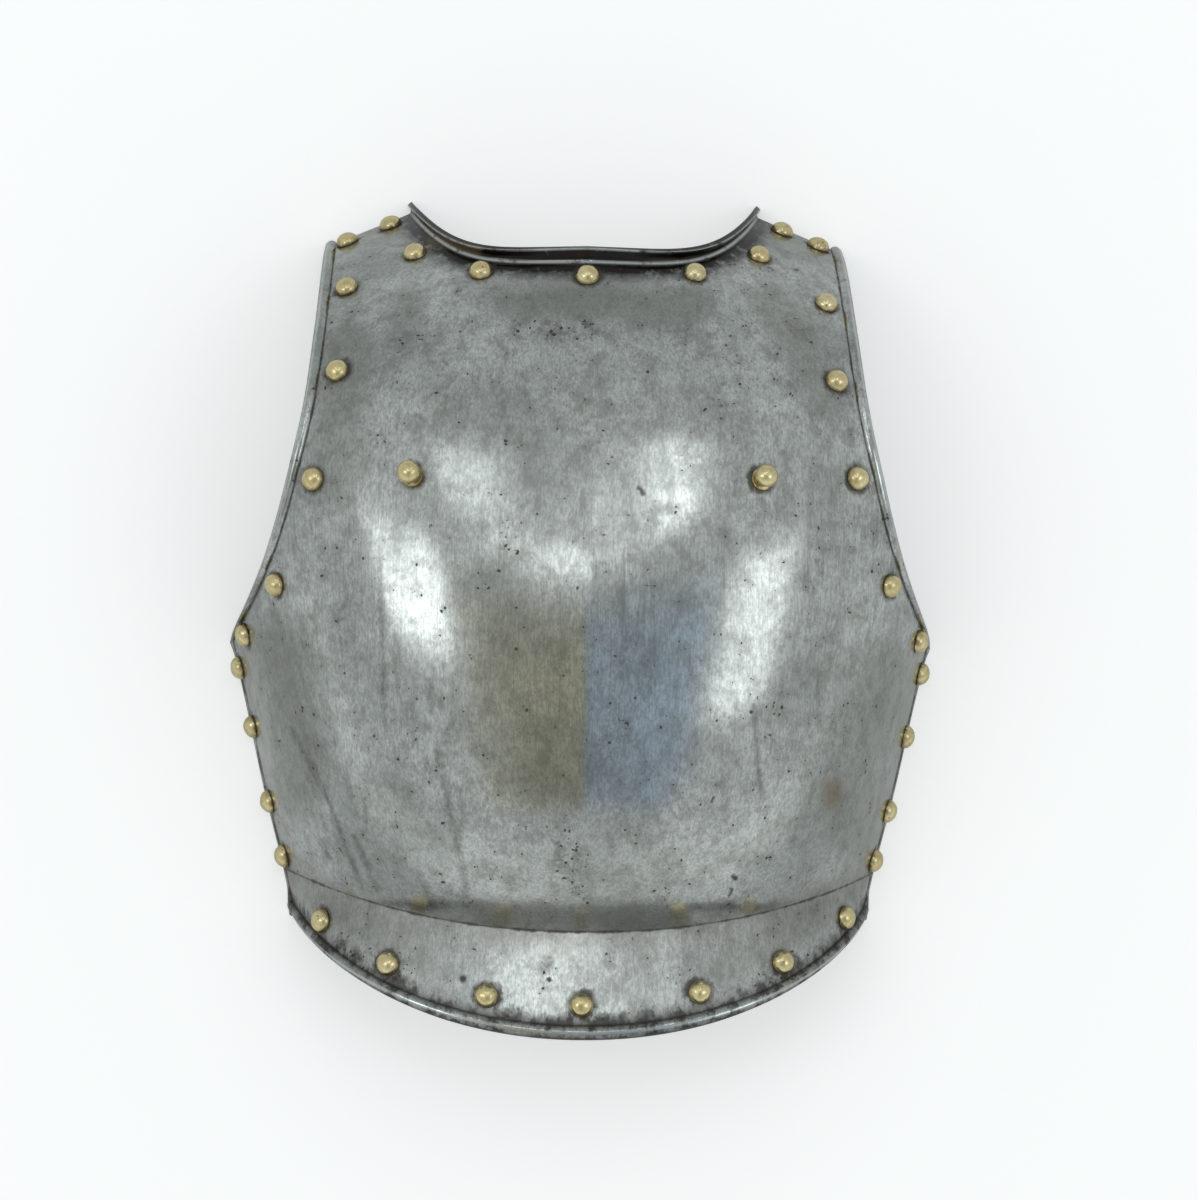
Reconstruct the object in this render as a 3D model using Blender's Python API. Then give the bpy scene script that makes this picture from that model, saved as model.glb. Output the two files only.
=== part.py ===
"""Breastplate of a cavalry cuirass with its brass rivets and strap studs.

Metres. X runs across the chest, Y up to the neck and Z out of the chest. The
plate lies on its side edges and shoulder ends, which are cut flat at Z = 0.
Heights are measured from the waist crease on the centre line.
"""

import math
from collections import namedtuple

import bmesh
import bpy
import numpy as np
from mathutils import Matrix, Vector
from mathutils.bvhtree import BVHTree

FLOOR_TOLERANCE = 0.00001  # a point of the form lower than this lies on the back plane
MERGE_DISTANCE = 0.00001
SHARP_ANGLE = 40
NUDGE = 0.0005  # step over which slopes are taken

# Form of the chest
CHEST_HEIGHT = 0.335  # waist crease to root of the neck flange, on the centre line
CHEST_WIDTH = 0.362  # across the underarm corners
CHEST_DEPTH = 0.145  # crest of the chest above the back edges
WALL = 0.0028
RIDGE_HEIGHT = 0.0032  # how far the medial ridge stands out of the round form
RIDGE_SPREAD = 0.030  # distance over which it fades to each side
RIDGE_ROUNDING = 0.0012

# Outline
UNDERARM_HEIGHT = 0.149
SHOULDER_START = 0.224  # height at which the chest begins to turn over the shoulders
SHOULDER_OUTER = 0.1355  # centre line to outer corner of a shoulder end
SHOULDER_FALL = 0.42  # how much a shoulder end falls for each metre outwards
HORN_ACROSS = 0.0925  # centre line to the horn, where neck and shoulder end meet
HORN_HEIGHT = 0.3755
NECK_CURVE = 4.6  # how squarely the neck root turns up to the horns
WAIST_RISE = 0.032  # how much higher the waist crease is at the side edges
WAIST_CURVE = 2.2

# Fullness of the sections: exponent of the curve, and the share of it that is used
SIDE_FULLNESS = 2.8
SIDE_REACH = 0.98
SHOULDER_FULLNESS = 2.4
SHOULDER_REACH = 0.94

# Waist flange
FLANGE_DROP = 0.0531  # waist crease to bottom edge, on the centre line
FLANGE_DEPTH = 0.093  # bottom edge above the back edges, on the centre line
FLANGE_CORNER_ACROSS = 0.1472
FLANGE_CORNER_HEIGHT = 0.0094
BOTTOM_ARC_ACROSS = 0.1586  # half width of the ellipse that the bottom edge follows

# Neck flange: radius and angle of its bend, and the straight lip past the bend
Flare = namedtuple("Flare", "radius lip turn")
NECK_FLARE = Flare(0.0038, 0.0040, math.radians(68))  # at the middle of the neck
HORN_FLARE = Flare(0.0022, 0.0018, math.radians(110))  # at the horns

# Beads rolled along the edges
Bead = namedtuple("Bead", "width height")
ARMHOLE_BEAD = Bead(0.0060, 0.0026)
SIDE_BEAD = Bead(0.0028, 0.0009)
BOTTOM_BEAD = Bead(0.0070, 0.0028)
BEAD_BLEND = 0.012  # run in which one bead turns into the next
BOTTOM_BEAD_TOP = 0.024  # height at which the bottom bead has run out

# Rivets and studs
HEAD_RADIUS = 0.0061
HEAD_HEIGHT = 0.0056
SHANK_RADIUS = 0.0021
TAIL_RADIUS = 0.0042
TAIL_HEIGHT = 0.0012
SHANK_GAP = 0.0003
SEAT_GAP = 0.0003  # between the plate and a head or a tail
TAIL_FACE = 0.7  # flat end of a tail, share of its radius
RIVET_SIDES = 10
DOME_STEPS = 3
STUD_BASE_RADIUS = 0.0056
STUD_BASE_HEIGHT = 0.0012
STUD_NECK_RADIUS = 0.0027
STUD_NECK_LENGTH = 0.0030
STUD_HEAD_RADIUS = 0.0058
STUD_HEAD_HEIGHT = 0.0080
STUD_HEAD_FOOT = 0.75  # width of the head's underside, share of its radius
STUD_HEAD_FLARE = 0.1  # how far that underside rises, share of the head's height
STUD_HEAD_WIDEST = 0.4  # where the head is widest, share of its height
STUD_ACROSS = 0.086
STUD_HEIGHT = 0.222
DRILL_LENGTH = 0.02
WALK_STEPS = 120  # steps in which the way from a rim to a rivet is measured
SIDES = {"left": -1, "right": 1}

# Where the rivets stand, as shares of their rim, with their distance from it
NECK_INSET = 0.0090
NECK_END_INSET = 0.0150  # for the rivets nearest the horns
SHOULDER_INSET = 0.0135
ARMHOLE_INSET = 0.0165
SIDE_INSET = 0.0100
WAIST_INSET = 0.0170
NECK_RIVETS = (-0.84, -0.56, 0.0, 0.57, 0.85)
SHOULDER_RIVETS = {"left": (0.24, 0.76), "right": (0.29, 0.73)}
ARMHOLE_RIVETS = {
    "left": (0.155, 0.378, 0.635, 0.87, 0.977),
    "right": (0.185, 0.390, 0.62, 0.86, 0.977),
}
SIDE_RIVETS = {"left": (0.12, 0.38, 0.71, 0.95), "right": (0.12, 0.40, 0.73, 0.95)}
WAIST_RIVETS = (-0.75, -0.50, -0.23, 0.0, 0.29, 0.53, 0.79)

# Rows and columns of the plate's mesh, as shares of the run that they divide
INNER_COLUMNS = (0.0, 0.07, 0.2, 0.35, 0.52, 0.69, 0.85)  # centre line to horn
OUTER_COLUMNS = (0.25, 0.5, 0.7, 0.85, 0.94)  # horn to the foot of the edge bead
BEAD_LINES = (1.0, 0.85, 0.5, 0.15, 0.0)  # foot of a bead to the edge
FLANGE_ROWS = (0.3, 0.65)  # foot of the bottom bead to the waist crease
CHEST_ROWS = (0.0, 0.05, 0.13, 0.25, 0.41, 0.6, 0.8, 0.96, 1.0)  # crease to underarm
UPPER_ROWS = (0.06, 0.3, 0.65, 1.0)  # underarm to where the shoulders begin
SHOULDER_ROWS = (0.18, 0.36, 0.53, 0.68, 0.80, 0.89, 0.95, 1.0)
FLARE_ROWS = 3  # rows round the bend of the neck flange

Station = namedtuple("Station", "height share")

# Depth of the centre line before the shoulders turn over: share of the way from
# waist crease to neck root, share of CHEST_DEPTH
CREST_LINE = (
    Station(0.00, 0.586),
    Station(0.06, 0.737),
    Station(0.18, 0.907),
    Station(0.34, 0.987),
    Station(0.43, 1.000),
    Station(0.52, 0.996),
    Station(0.67, 0.950),
    Station(0.85, 0.857),
    Station(0.95, 0.798),
    Station(1.02, 0.740),
    Station(1.13, 0.620),
)

# Half width in the back plane: share of UNDERARM_HEIGHT, share of half CHEST_WIDTH.
# Above 1 the form runs on past the armhole, which is cut out of it.
SIDE_LINE = (
    Station(0.00, 0.800),
    Station(0.27, 0.853),
    Station(0.44, 0.890),
    Station(0.67, 0.934),
    Station(0.87, 0.972),
    Station(1.00, 1.000),
    Station(1.40, 1.080),
    Station(1.74, 1.130),
    Station(2.10, 1.160),
    Station(2.56, 1.180),
)

# Armhole edge: share of the way from underarm to shoulder end, share of the way
# from the shoulder's outer corner out to the underarm corner
ARMHOLE_LINE = (
    Station(0.00, 1.00),
    Station(0.04, 0.86),
    Station(0.10, 0.69),
    Station(0.24, 0.43),
    Station(0.41, 0.235),
    Station(0.51, 0.14),
    Station(0.63, 0.07),
    Station(0.80, 0.015),
    Station(1.00, 0.00),
)

# How strong the medial ridge is: share of the way from waist crease to neck root
RIDGE_LINE = (
    Station(0.00, 0.35),
    Station(0.20, 0.90),
    Station(0.45, 1.00),
    Station(0.70, 0.35),
    Station(0.90, 0.05),
    Station(1.15, 0.00),
)


def along(line, at):
    """Natural cubic spline through a line's stations."""
    place = np.array([station.height for station in line])
    value = np.array([station.share for station in line])
    gap = np.diff(place)
    rise = np.diff(value) / gap
    bend = np.eye(len(place))
    load = np.zeros(len(place))
    for i in range(1, len(place) - 1):
        bend[i, i - 1 : i + 2] = gap[i - 1], 2 * (gap[i - 1] + gap[i]), gap[i]
        load[i] = 6 * (rise[i] - rise[i - 1])
    moment = np.linalg.solve(bend, load)
    at = np.clip(at, place[0], place[-1])
    i = np.clip(np.searchsorted(place, at) - 1, 0, len(gap) - 1)
    after = at - place[i]
    before = place[i + 1] - at
    cubic = moment[i] * before**3 + moment[i + 1] * after**3
    low = value[i] / gap[i] - moment[i] * gap[i] / 6
    high = value[i + 1] / gap[i] - moment[i + 1] * gap[i] / 6
    return cubic / (6 * gap[i]) + low * before + high * after


def ease(share):
    """Smooth step from 0 to 1."""
    share = np.clip(share, 0.0, 1.0)
    return share * share * (3 - 2 * share)


def round_off(share, fullness, reach):
    """Falls from 1 at share 0 to 0 at share 1, like the quarter of a full oval."""
    end = (1 - reach**fullness) ** (1 / fullness)
    used = reach * np.clip(share, 0.0, 1.0)
    return ((1 - used**fullness) ** (1 / fullness) - end) / (1 - end)


def half_width(height):
    return CHEST_WIDTH / 2 * along(SIDE_LINE, height / UNDERARM_HEIGHT)


def shoulder_line(across):
    """Height of the shoulder ends, run on over the neck."""
    return HORN_HEIGHT - SHOULDER_FALL * (np.abs(across) - HORN_ACROSS)


def neck_line(across):
    """Height of the neck flange's root."""
    turn = (np.abs(across) / HORN_ACROSS) ** NECK_CURVE
    return CHEST_HEIGHT + (HORN_HEIGHT - CHEST_HEIGHT) * turn


def top_line(across):
    across = np.abs(across)
    return np.where(across < HORN_ACROSS, neck_line(across), shoulder_line(across))


WAIST_ACROSS = float(half_width(WAIST_RISE))


def waist_line(across):
    return WAIST_RISE * (np.abs(across) / WAIST_ACROSS) ** WAIST_CURVE


def armhole_across(height):
    top = shoulder_line(SHOULDER_OUTER)
    share = (height - UNDERARM_HEIGHT) / (top - UNDERARM_HEIGHT)
    return SHOULDER_OUTER + (CHEST_WIDTH / 2 - SHOULDER_OUTER) * along(ARMHOLE_LINE, share)


def edge_across(height):
    """Half width of the plate itself: side edge, then armhole edge."""
    return np.where(height <= UNDERARM_HEIGHT, half_width(height), armhole_across(height))


def chest_depth(across, height):
    """Outer face of the chest above the back plane."""
    waist = waist_line(across)
    share = (height - waist) / (CHEST_HEIGHT - waist)
    crest = CHEST_DEPTH * along(CREST_LINE, share)
    sideways = round_off(np.abs(across) / half_width(height), SIDE_FULLNESS, SIDE_REACH)
    over = (height - SHOULDER_START) / (shoulder_line(across) - SHOULDER_START)
    shoulder = round_off(over, SHOULDER_FULLNESS, SHOULDER_REACH)
    away = np.hypot(across, RIDGE_ROUNDING) - RIDGE_ROUNDING
    ridge = RIDGE_HEIGHT * along(RIDGE_LINE, share) * (np.exp(-away / RIDGE_SPREAD) - 1)
    return (crest + ridge) * sideways * shoulder


def spread(share, turn):
    """Spacing that is closer where a section turns down to its edge."""
    return np.sin(share * turn) / np.sin(turn)


def section_turn(height, reach):
    """Angle through which the section at a height turns before it is cut."""
    return np.arcsin(reach * edge_across(height) / half_width(height))


def chest_row(edge_height, centre_height, share):
    across = edge_across(edge_height) * spread(share, section_turn(edge_height, SIDE_REACH))
    bow = np.abs(across / edge_across(edge_height)) ** WAIST_CURVE
    height = centre_height + (edge_height - centre_height) * bow
    return np.stack([across, height, chest_depth(across, height)], axis=-1)


def shoulder_row(level, share):
    """A row over the shoulders: level 0 where they start to turn, 1 at the top edge."""
    climb = spread(level, math.asin(SHOULDER_REACH))
    edge = SHOULDER_START + (shoulder_line(SHOULDER_OUTER) - SHOULDER_START) * climb
    across = edge_across(edge) * spread(share, section_turn(edge, SIDE_REACH))
    height = SHOULDER_START + (top_line(across) - SHOULDER_START) * climb
    return np.stack([across, height, chest_depth(across, height)], axis=-1)


def crease_point(share):
    return chest_row(WAIST_RISE, 0.0, share)


def bottom_point(share):
    """The bottom edge: part of an ellipse seen from the front."""
    across = FLANGE_CORNER_ACROSS * spread(share, section_turn(WAIST_RISE, SIDE_REACH))
    lift = 1 - np.sqrt(1 - (across / BOTTOM_ARC_ACROSS) ** 2)
    full_lift = 1 - math.sqrt(1 - (FLANGE_CORNER_ACROSS / BOTTOM_ARC_ACROSS) ** 2)
    height = (FLANGE_CORNER_HEIGHT + FLANGE_DROP) * lift / full_lift - FLANGE_DROP
    depth = FLANGE_DEPTH * round_off(
        across / FLANGE_CORNER_ACROSS, SIDE_FULLNESS, SIDE_REACH
    )
    return np.stack([across, height, depth], axis=-1)


def flange_point(drop, share):
    """A point of the waist flange: drop 0 at its bottom edge, 1 at the crease."""
    drop = np.asarray(drop)[..., None]
    return bottom_point(share) * (1 - drop) + crease_point(share) * drop


def flange_length(share):
    return np.linalg.norm(crease_point(share) - bottom_point(share), axis=-1)


def edge_bead(height):
    """Bead along the side and armhole edges at a height."""
    armhole = ease((height - UNDERARM_HEIGHT) / BEAD_BLEND + 0.5)
    bottom = ease((BOTTOM_BEAD_TOP - height) / BEAD_BLEND)
    return Bead(
        *(
            side + (upper - side) * armhole + (lower - side) * bottom
            for side, upper, lower in zip(SIDE_BEAD, ARMHOLE_BEAD, BOTTOM_BEAD)
        )
    )


def bead_rise(distance, bead):
    """Height of a half-round bead at a distance from the edge."""
    off_centre = np.clip(2 * distance / bead.width - 1, -1.0, 1.0)
    return bead.height * np.sqrt(1 - off_centre**2)


TOP_TURN = float(section_turn(shoulder_line(SHOULDER_OUTER), SIDE_REACH))
HORN_SHARE = math.asin(HORN_ACROSS / SHOULDER_OUTER * math.sin(TOP_TURN)) / TOP_TURN
HORN_COLUMN = len(INNER_COLUMNS)
EDGE_SHARE = 0.02  # part of a row over which its run at the edge is taken


def half_row(row, edge_height):
    """One row of the right half: its points and how far its edge bead stands out."""
    bead = edge_bead(edge_height)
    last = row(np.array([1 - EDGE_SHARE, 1.0]))
    run = np.linalg.norm(last[1] - last[0]) / EDGE_SHARE
    lines = np.array(BEAD_LINES)
    foot = 1 - bead.width / run
    inner = HORN_SHARE * np.array(INNER_COLUMNS + (1.0,))
    outer = HORN_SHARE + (foot - HORN_SHARE) * np.array(OUTER_COLUMNS)
    share = np.concatenate([inner, outer, 1 - lines * bead.width / run])
    rise = np.zeros(len(share))
    rise[-len(lines) :] = bead_rise(lines * bead.width, bead)
    return row(share), rise


def flange_rows():
    """Rows of the waist flange: the bottom bead, then up to the crease."""
    for line in BEAD_LINES[::-1]:
        distance = line * BOTTOM_BEAD.width

        def row(share, distance=distance):
            return flange_point(distance / flange_length(share), share)

        edge = row(np.array([1.0]))[0]
        points, rise = half_row(row, edge[1])
        yield points, np.maximum(rise, bead_rise(distance, BOTTOM_BEAD))
    for level in FLANGE_ROWS:

        def row(share, level=level):
            foot = BOTTOM_BEAD.width / flange_length(share)
            return flange_point(foot + (1 - foot) * level, share)

        edge = row(np.array([1.0]))[0]
        yield half_row(row, edge[1])


def chest_rows():
    """Rows from the waist crease up to the shoulder ends and the neck."""
    for level in CHEST_ROWS:
        edge = WAIST_RISE + (UNDERARM_HEIGHT - WAIST_RISE) * level
        yield half_row(lambda share: chest_row(edge, UNDERARM_HEIGHT * level, share), edge)
    for level in UPPER_ROWS:
        edge = UNDERARM_HEIGHT + (SHOULDER_START - UNDERARM_HEIGHT) * level
        yield half_row(lambda share: chest_row(edge, edge, share), edge)
    for level in SHOULDER_ROWS:
        edge = SHOULDER_START + (shoulder_line(SHOULDER_OUTER) - SHOULDER_START) * level
        yield half_row(lambda share: shoulder_row(level, share), edge)


def unit(vectors):
    return vectors / np.linalg.norm(vectors, axis=-1, keepdims=True)


def surface_normals(points):
    up = np.gradient(points, axis=0)
    across = np.gradient(points, axis=1)
    return unit(np.cross(across, up))


def neck_flange(root, normals):
    """Rows of the flange that bends outwards from the neck root."""
    outward = unit(np.cross(normals, np.gradient(root, axis=0)))
    normals = normals.copy()
    for end, side in ((0, -1), (-1, 1)):
        normals[end] = unit(np.array([side * SHOULDER_FALL, 1.0, 0.0]))
        outward[end] = unit(np.array([-side, SHOULDER_FALL, 0.0]))
    horn = ease(np.abs(root[:, 0]) / HORN_ACROSS)[:, None]
    radius, lip, turn = (
        neck + (end - neck) * horn for neck, end in zip(NECK_FLARE, HORN_FLARE)
    )
    points = []
    facing = []
    for level in range(1, FLARE_ROWS + 2):
        angle = turn * min(level / FLARE_ROWS, 1.0)
        point = root + radius * (np.sin(angle) * outward + (1 - np.cos(angle)) * normals)
        if level > FLARE_ROWS:
            point = point + lip * (np.cos(angle) * outward + np.sin(angle) * normals)
        points.append(point)
        facing.append(np.cos(angle) * normals - np.sin(angle) * outward)
    return np.array(points), np.array(facing)


def mirrored(half, flip):
    """Both halves of the rows: the right one, and its mirror image before it."""
    left = half[:, :0:-1].copy()
    if flip:
        left[..., 0] *= -1
    return np.concatenate([left, half], axis=1)


def plate_faces():
    """Outer and inner face of the plate as grids of points, NaN where there is none."""
    rows = list(flange_rows()) + list(chest_rows())
    base = mirrored(np.array([points for points, rise in rows]), flip=True)
    rise = mirrored(np.array([rise for points, rise in rows]), flip=False)
    normals = surface_normals(base)
    middle = base.shape[1] // 2
    neck = slice(middle - HORN_COLUMN, middle + HORN_COLUMN + 1)
    lip, lip_normals = neck_flange(base[-1, neck], normals[-1, neck])
    outer = np.full((len(base) + len(lip), base.shape[1], 3), np.nan)
    inner = outer.copy()
    outer[: len(base)] = base + rise[..., None] * normals
    inner[: len(base)] = base - WALL * normals
    outer[len(base) :, neck] = lip
    inner[len(base) :, neck] = lip - WALL * lip_normals
    on_floor = np.zeros(outer.shape[:2], dtype=bool)
    on_floor[: len(base)] = base[..., 2] < FLOOR_TOLERANCE
    on_floor[len(base) :, [neck.start, neck.stop - 1]] = True
    for face in (outer, inner):
        face[on_floor, 2] = 0.0
        face[..., 2] = np.maximum(face[..., 2], 0.0)
    return outer, inner


def closed_shell(bm, outer, inner):
    """Joins two grids of points, face to face, into one closed body."""
    present = ~np.isnan(outer[..., 0])
    skins = []
    for grid in (outer, inner):
        skins.append(
            {
                (row, column): bm.verts.new(grid[row, column])
                for row, column in zip(*np.nonzero(present))
            }
        )
    front, back = skins
    opposite = {front[place]: back[place] for place in front}
    for row, column in front:
        corners = [(row, column), (row, column + 1), (row + 1, column + 1), (row + 1, column)]
        if all(corner in front for corner in corners):
            bm.faces.new([front[corner] for corner in corners])
            bm.faces.new([back[corner] for corner in reversed(corners)])
    for edge in [edge for edge in bm.edges if edge.is_boundary and edge.verts[0] in opposite]:
        loop = edge.link_loops[0]
        start, end = loop.vert, loop.link_loop_next.vert
        bm.faces.new([end, start, opposite[start], opposite[end]])
    bm.normal_update()


def new_object(name, bm, material):
    mesh = bpy.data.meshes.new(name)
    bm.to_mesh(mesh)
    bm.free()
    mesh.materials.append(material)
    mesh.shade_smooth()
    mesh.set_sharp_from_angle(angle=math.radians(SHARP_ANGLE))
    thing = bpy.data.objects.new(name, mesh)
    bpy.context.scene.collection.objects.link(thing)
    return thing


def new_material(name, colour, roughness):
    material = bpy.data.materials.new(name)
    material.use_nodes = True
    shader = material.node_tree.nodes["Principled BSDF"]
    shader.inputs["Base Color"].default_value = (*colour, 1.0)
    shader.inputs["Metallic"].default_value = 1.0
    shader.inputs["Roughness"].default_value = roughness
    return material


def turned(profile, name, material):
    """A round piece turned about Z from (radius, height) points, bottom to top."""
    bm = bmesh.new()
    corners = [bm.verts.new((radius, 0.0, height)) for radius, height in profile]
    edges = [bm.edges.new(pair) for pair in zip(corners, corners[1:])]
    bmesh.ops.spin(
        bm,
        geom=corners + edges,
        cent=(0.0, 0.0, 0.0),
        axis=(0.0, 0.0, 1.0),
        dvec=(0.0, 0.0, 0.0),
        angle=2 * math.pi,
        steps=RIVET_SIDES,
        use_merge=True,
    )
    bmesh.ops.remove_doubles(bm, verts=bm.verts, dist=MERGE_DISTANCE)
    bmesh.ops.recalc_face_normals(bm, faces=bm.faces)
    return new_object(name, bm, material)


def dome(radius, height, start, steps):
    """Points of a dome above a start height, from its rim to its top."""
    angles = [math.pi / 2 * step / steps for step in range(steps + 1)]
    return [(radius * math.cos(angle), start + height * math.sin(angle)) for angle in angles]


def shank_profile(tail, seat):
    """Tail and shank of a rivet: heights of the tail's upper face and of the seat."""
    return [
        (0.0, tail - TAIL_HEIGHT),
        (TAIL_FACE * TAIL_RADIUS, tail - TAIL_HEIGHT),
        (TAIL_RADIUS, tail),
        (SHANK_RADIUS, tail),
        (SHANK_RADIUS, seat),
    ]


def rivet_profile(tail, seat):
    return shank_profile(tail, seat) + dome(HEAD_RADIUS, HEAD_HEIGHT, seat, DOME_STEPS)


def stud_profile(tail, seat):
    neck_foot = seat + STUD_BASE_HEIGHT
    head_foot = neck_foot + STUD_NECK_LENGTH
    head_lower = STUD_HEAD_WIDEST * STUD_HEAD_HEIGHT
    head_upper = STUD_HEAD_HEIGHT - head_lower
    return (
        shank_profile(tail, seat)
        + [
            (STUD_BASE_RADIUS, seat),
            (STUD_BASE_RADIUS, neck_foot),
            (STUD_NECK_RADIUS, neck_foot),
            (STUD_NECK_RADIUS, head_foot),
            (STUD_HEAD_FOOT * STUD_HEAD_RADIUS, head_foot + STUD_HEAD_FLARE * STUD_HEAD_HEIGHT),
        ]
        + dome(STUD_HEAD_RADIUS, head_upper, head_foot + head_lower, DOME_STEPS)
    )


def wall_below(plate, place, radius):
    """Lowest point of the plate's inner facets and highest of its outer ones near an axis."""
    upward = place.to_3x3() @ Vector((0.0, 0.0, 1.0))
    heights = []
    for side in (-1, 1):
        for ring in (0.0, 0.5, 1.0):
            for step in range(RIVET_SIDES):
                spoke = Matrix.Rotation(2 * math.pi * step / RIVET_SIDES, 4, "Z")
                start = place @ spoke @ Vector((ring * radius, 0.0, side * DRILL_LENGTH))
                hit = plate.ray_cast(start, -side * upward)[0]
                if hit:
                    heights.append((place.inverted() @ hit).z)
    return min(heights), max(heights)


def chest_seat(across, height):
    """Point of the chest's outer face and its normal."""
    sideways = chest_depth(across + NUDGE, height) - chest_depth(across - NUDGE, height)
    upwards = chest_depth(across, height + NUDGE) - chest_depth(across, height - NUDGE)
    point = Vector((across, height, float(chest_depth(across, height))))
    return point, Vector((-sideways, -upwards, 2 * NUDGE)).normalized()


def walk_in(edge, inward, inset):
    """Seat that lies inset from a point of the rim, measured along the surface."""
    steps = np.linspace(0.0, inset, WALK_STEPS)
    across = edge[0] + inward[0] * steps
    height = edge[1] + inward[1] * steps
    path = np.stack([across, height, chest_depth(across, height)], axis=-1)
    run = np.concatenate([[0.0], np.cumsum(np.linalg.norm(np.diff(path, axis=0), axis=1))])
    place = float(np.interp(inset, run, steps))
    return chest_seat(edge[0] + inward[0] * place, edge[1] + inward[1] * place)


def inward_normal(rim, at):
    """Direction in the front view that leads in from a rim curve rim(at)."""
    run = (Vector(rim(at + NUDGE)) - Vector(rim(at - NUDGE))).normalized()
    return Vector((run.y, -run.x))


def neck_rim(share):
    across = share * HORN_ACROSS
    return across, float(neck_line(across))


def shoulder_rim(share):
    across = HORN_ACROSS + (SHOULDER_OUTER - HORN_ACROSS) * share
    return across, float(shoulder_line(across))


def armhole_rim(share):
    height = UNDERARM_HEIGHT + (shoulder_line(SHOULDER_OUTER) - UNDERARM_HEIGHT) * (1 - share)
    return float(armhole_across(height)), float(height)


def side_rim(share):
    height = WAIST_RISE + (UNDERARM_HEIGHT - WAIST_RISE) * (1 - share)
    return float(half_width(height)), height


def on_side(seat, side):
    """The seat itself on the right, its mirror image on the left."""
    point, normal = seat
    sign = SIDES[side]
    return Vector((sign * point.x, point.y, point.z)), Vector((sign * normal.x, normal.y, normal.z))


def waist_seat(share):
    """Seat on the waist flange, WAIST_INSET up from the bottom edge."""
    step = 0.01
    at = abs(share)
    shares = np.array([at - step, at, at + step])
    drop = WAIST_INSET / flange_length(np.array([at]))[0]
    low, high = (flange_point(level, shares) for level in (drop - step, drop + step))
    normal = Vector(high[2] + low[2] - high[0] - low[0]).cross(Vector(high[1] - low[1]))
    point = Vector(flange_point(drop, np.array([at]))[0])
    return on_side((point, normal.normalized()), "left" if share < 0 else "right")


def seats():
    """Every rivet's and stud's name with the point and normal that it sits on."""
    found = {}
    for number, share in enumerate(NECK_RIVETS, 1):
        inset = NECK_END_INSET if number in (1, len(NECK_RIVETS)) else NECK_INSET
        seat = walk_in(neck_rim(share), inward_normal(neck_rim, share), inset)
        found[f"neck_rivet_{number}"] = seat
    rims = (
        ("shoulder", SHOULDER_RIVETS, shoulder_rim, SHOULDER_INSET),
        ("armhole", ARMHOLE_RIVETS, armhole_rim, ARMHOLE_INSET),
        ("side", SIDE_RIVETS, side_rim, SIDE_INSET),
    )
    for rim_name, shares, rim, inset in rims:
        for side in SIDES:
            for number, share in enumerate(shares[side], 1):
                seat = walk_in(rim(share), inward_normal(rim, share), inset)
                found[f"{rim_name}_rivet_{side}_{number}"] = on_side(seat, side)
    for number, share in enumerate(WAIST_RIVETS, 1):
        found[f"waist_rivet_{number}"] = waist_seat(share)
    for side in SIDES:
        found[f"strap_stud_{side}"] = on_side(chest_seat(STUD_ACROSS, STUD_HEIGHT), side)
    return found


def drill(places):
    """One cutter with a hole for every shank."""
    bm = bmesh.new()
    for place in places:
        bmesh.ops.create_cone(
            bm,
            cap_ends=True,
            cap_tris=False,
            segments=RIVET_SIDES,
            radius1=SHANK_RADIUS + SHANK_GAP,
            radius2=SHANK_RADIUS + SHANK_GAP,
            depth=DRILL_LENGTH,
            matrix=place,
        )
    return bm


def main():
    for thing in list(bpy.data.objects):
        bpy.data.objects.remove(thing)
    steel = new_material("polished_steel", (0.42, 0.43, 0.42), 0.3)
    brass = new_material("brass", (0.72, 0.58, 0.30), 0.28)

    bm = bmesh.new()
    closed_shell(bm, *plate_faces())
    facets = BVHTree.FromBMesh(bm)
    plate = new_object("breastplate", bm, steel)

    places = []
    for name, (point, normal) in seats().items():
        turn = normal.to_track_quat("Z", "Y").to_matrix().to_4x4()
        place = Matrix.Translation(point) @ turn
        profile = stud_profile if name.startswith("strap_stud") else rivet_profile
        low, high = wall_below(facets, place, HEAD_RADIUS)
        turned(profile(low - SEAT_GAP, high + SEAT_GAP), name, brass).matrix_world = place
        places.append(place)

    cutter = new_object("rivet_holes", drill(places), steel)
    cutter.hide_render = True
    cutter.display_type = "WIRE"
    holes = plate.modifiers.new("rivet_holes", "BOOLEAN")
    holes.operation = "DIFFERENCE"
    holes.solver = "EXACT"
    holes.object = cutter

    bpy.context.view_layer.update()
    corners = [plate.matrix_world @ Vector(corner) for corner in plate.bound_box]
    low = min(corner.y for corner in corners)
    high = max(corner.y for corner in corners)
    for thing in bpy.data.objects:
        thing.location.y -= (low + high) / 2


main()
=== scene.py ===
"""Looks of the cuirass breastplate: forged steel plate, brass rivets and strap studs.

The plate's form repeats the formulas of its solid. X runs across the chest, Y up to
the neck and Z out of the chest. Heights count from the waist crease on the centre line.
"""

import math
from collections import namedtuple

import bmesh
import bpy
import numpy as np
from mathutils import Matrix, Vector, noise
from mathutils.bvhtree import BVHTree
from mathutils.kdtree import KDTree


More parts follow.
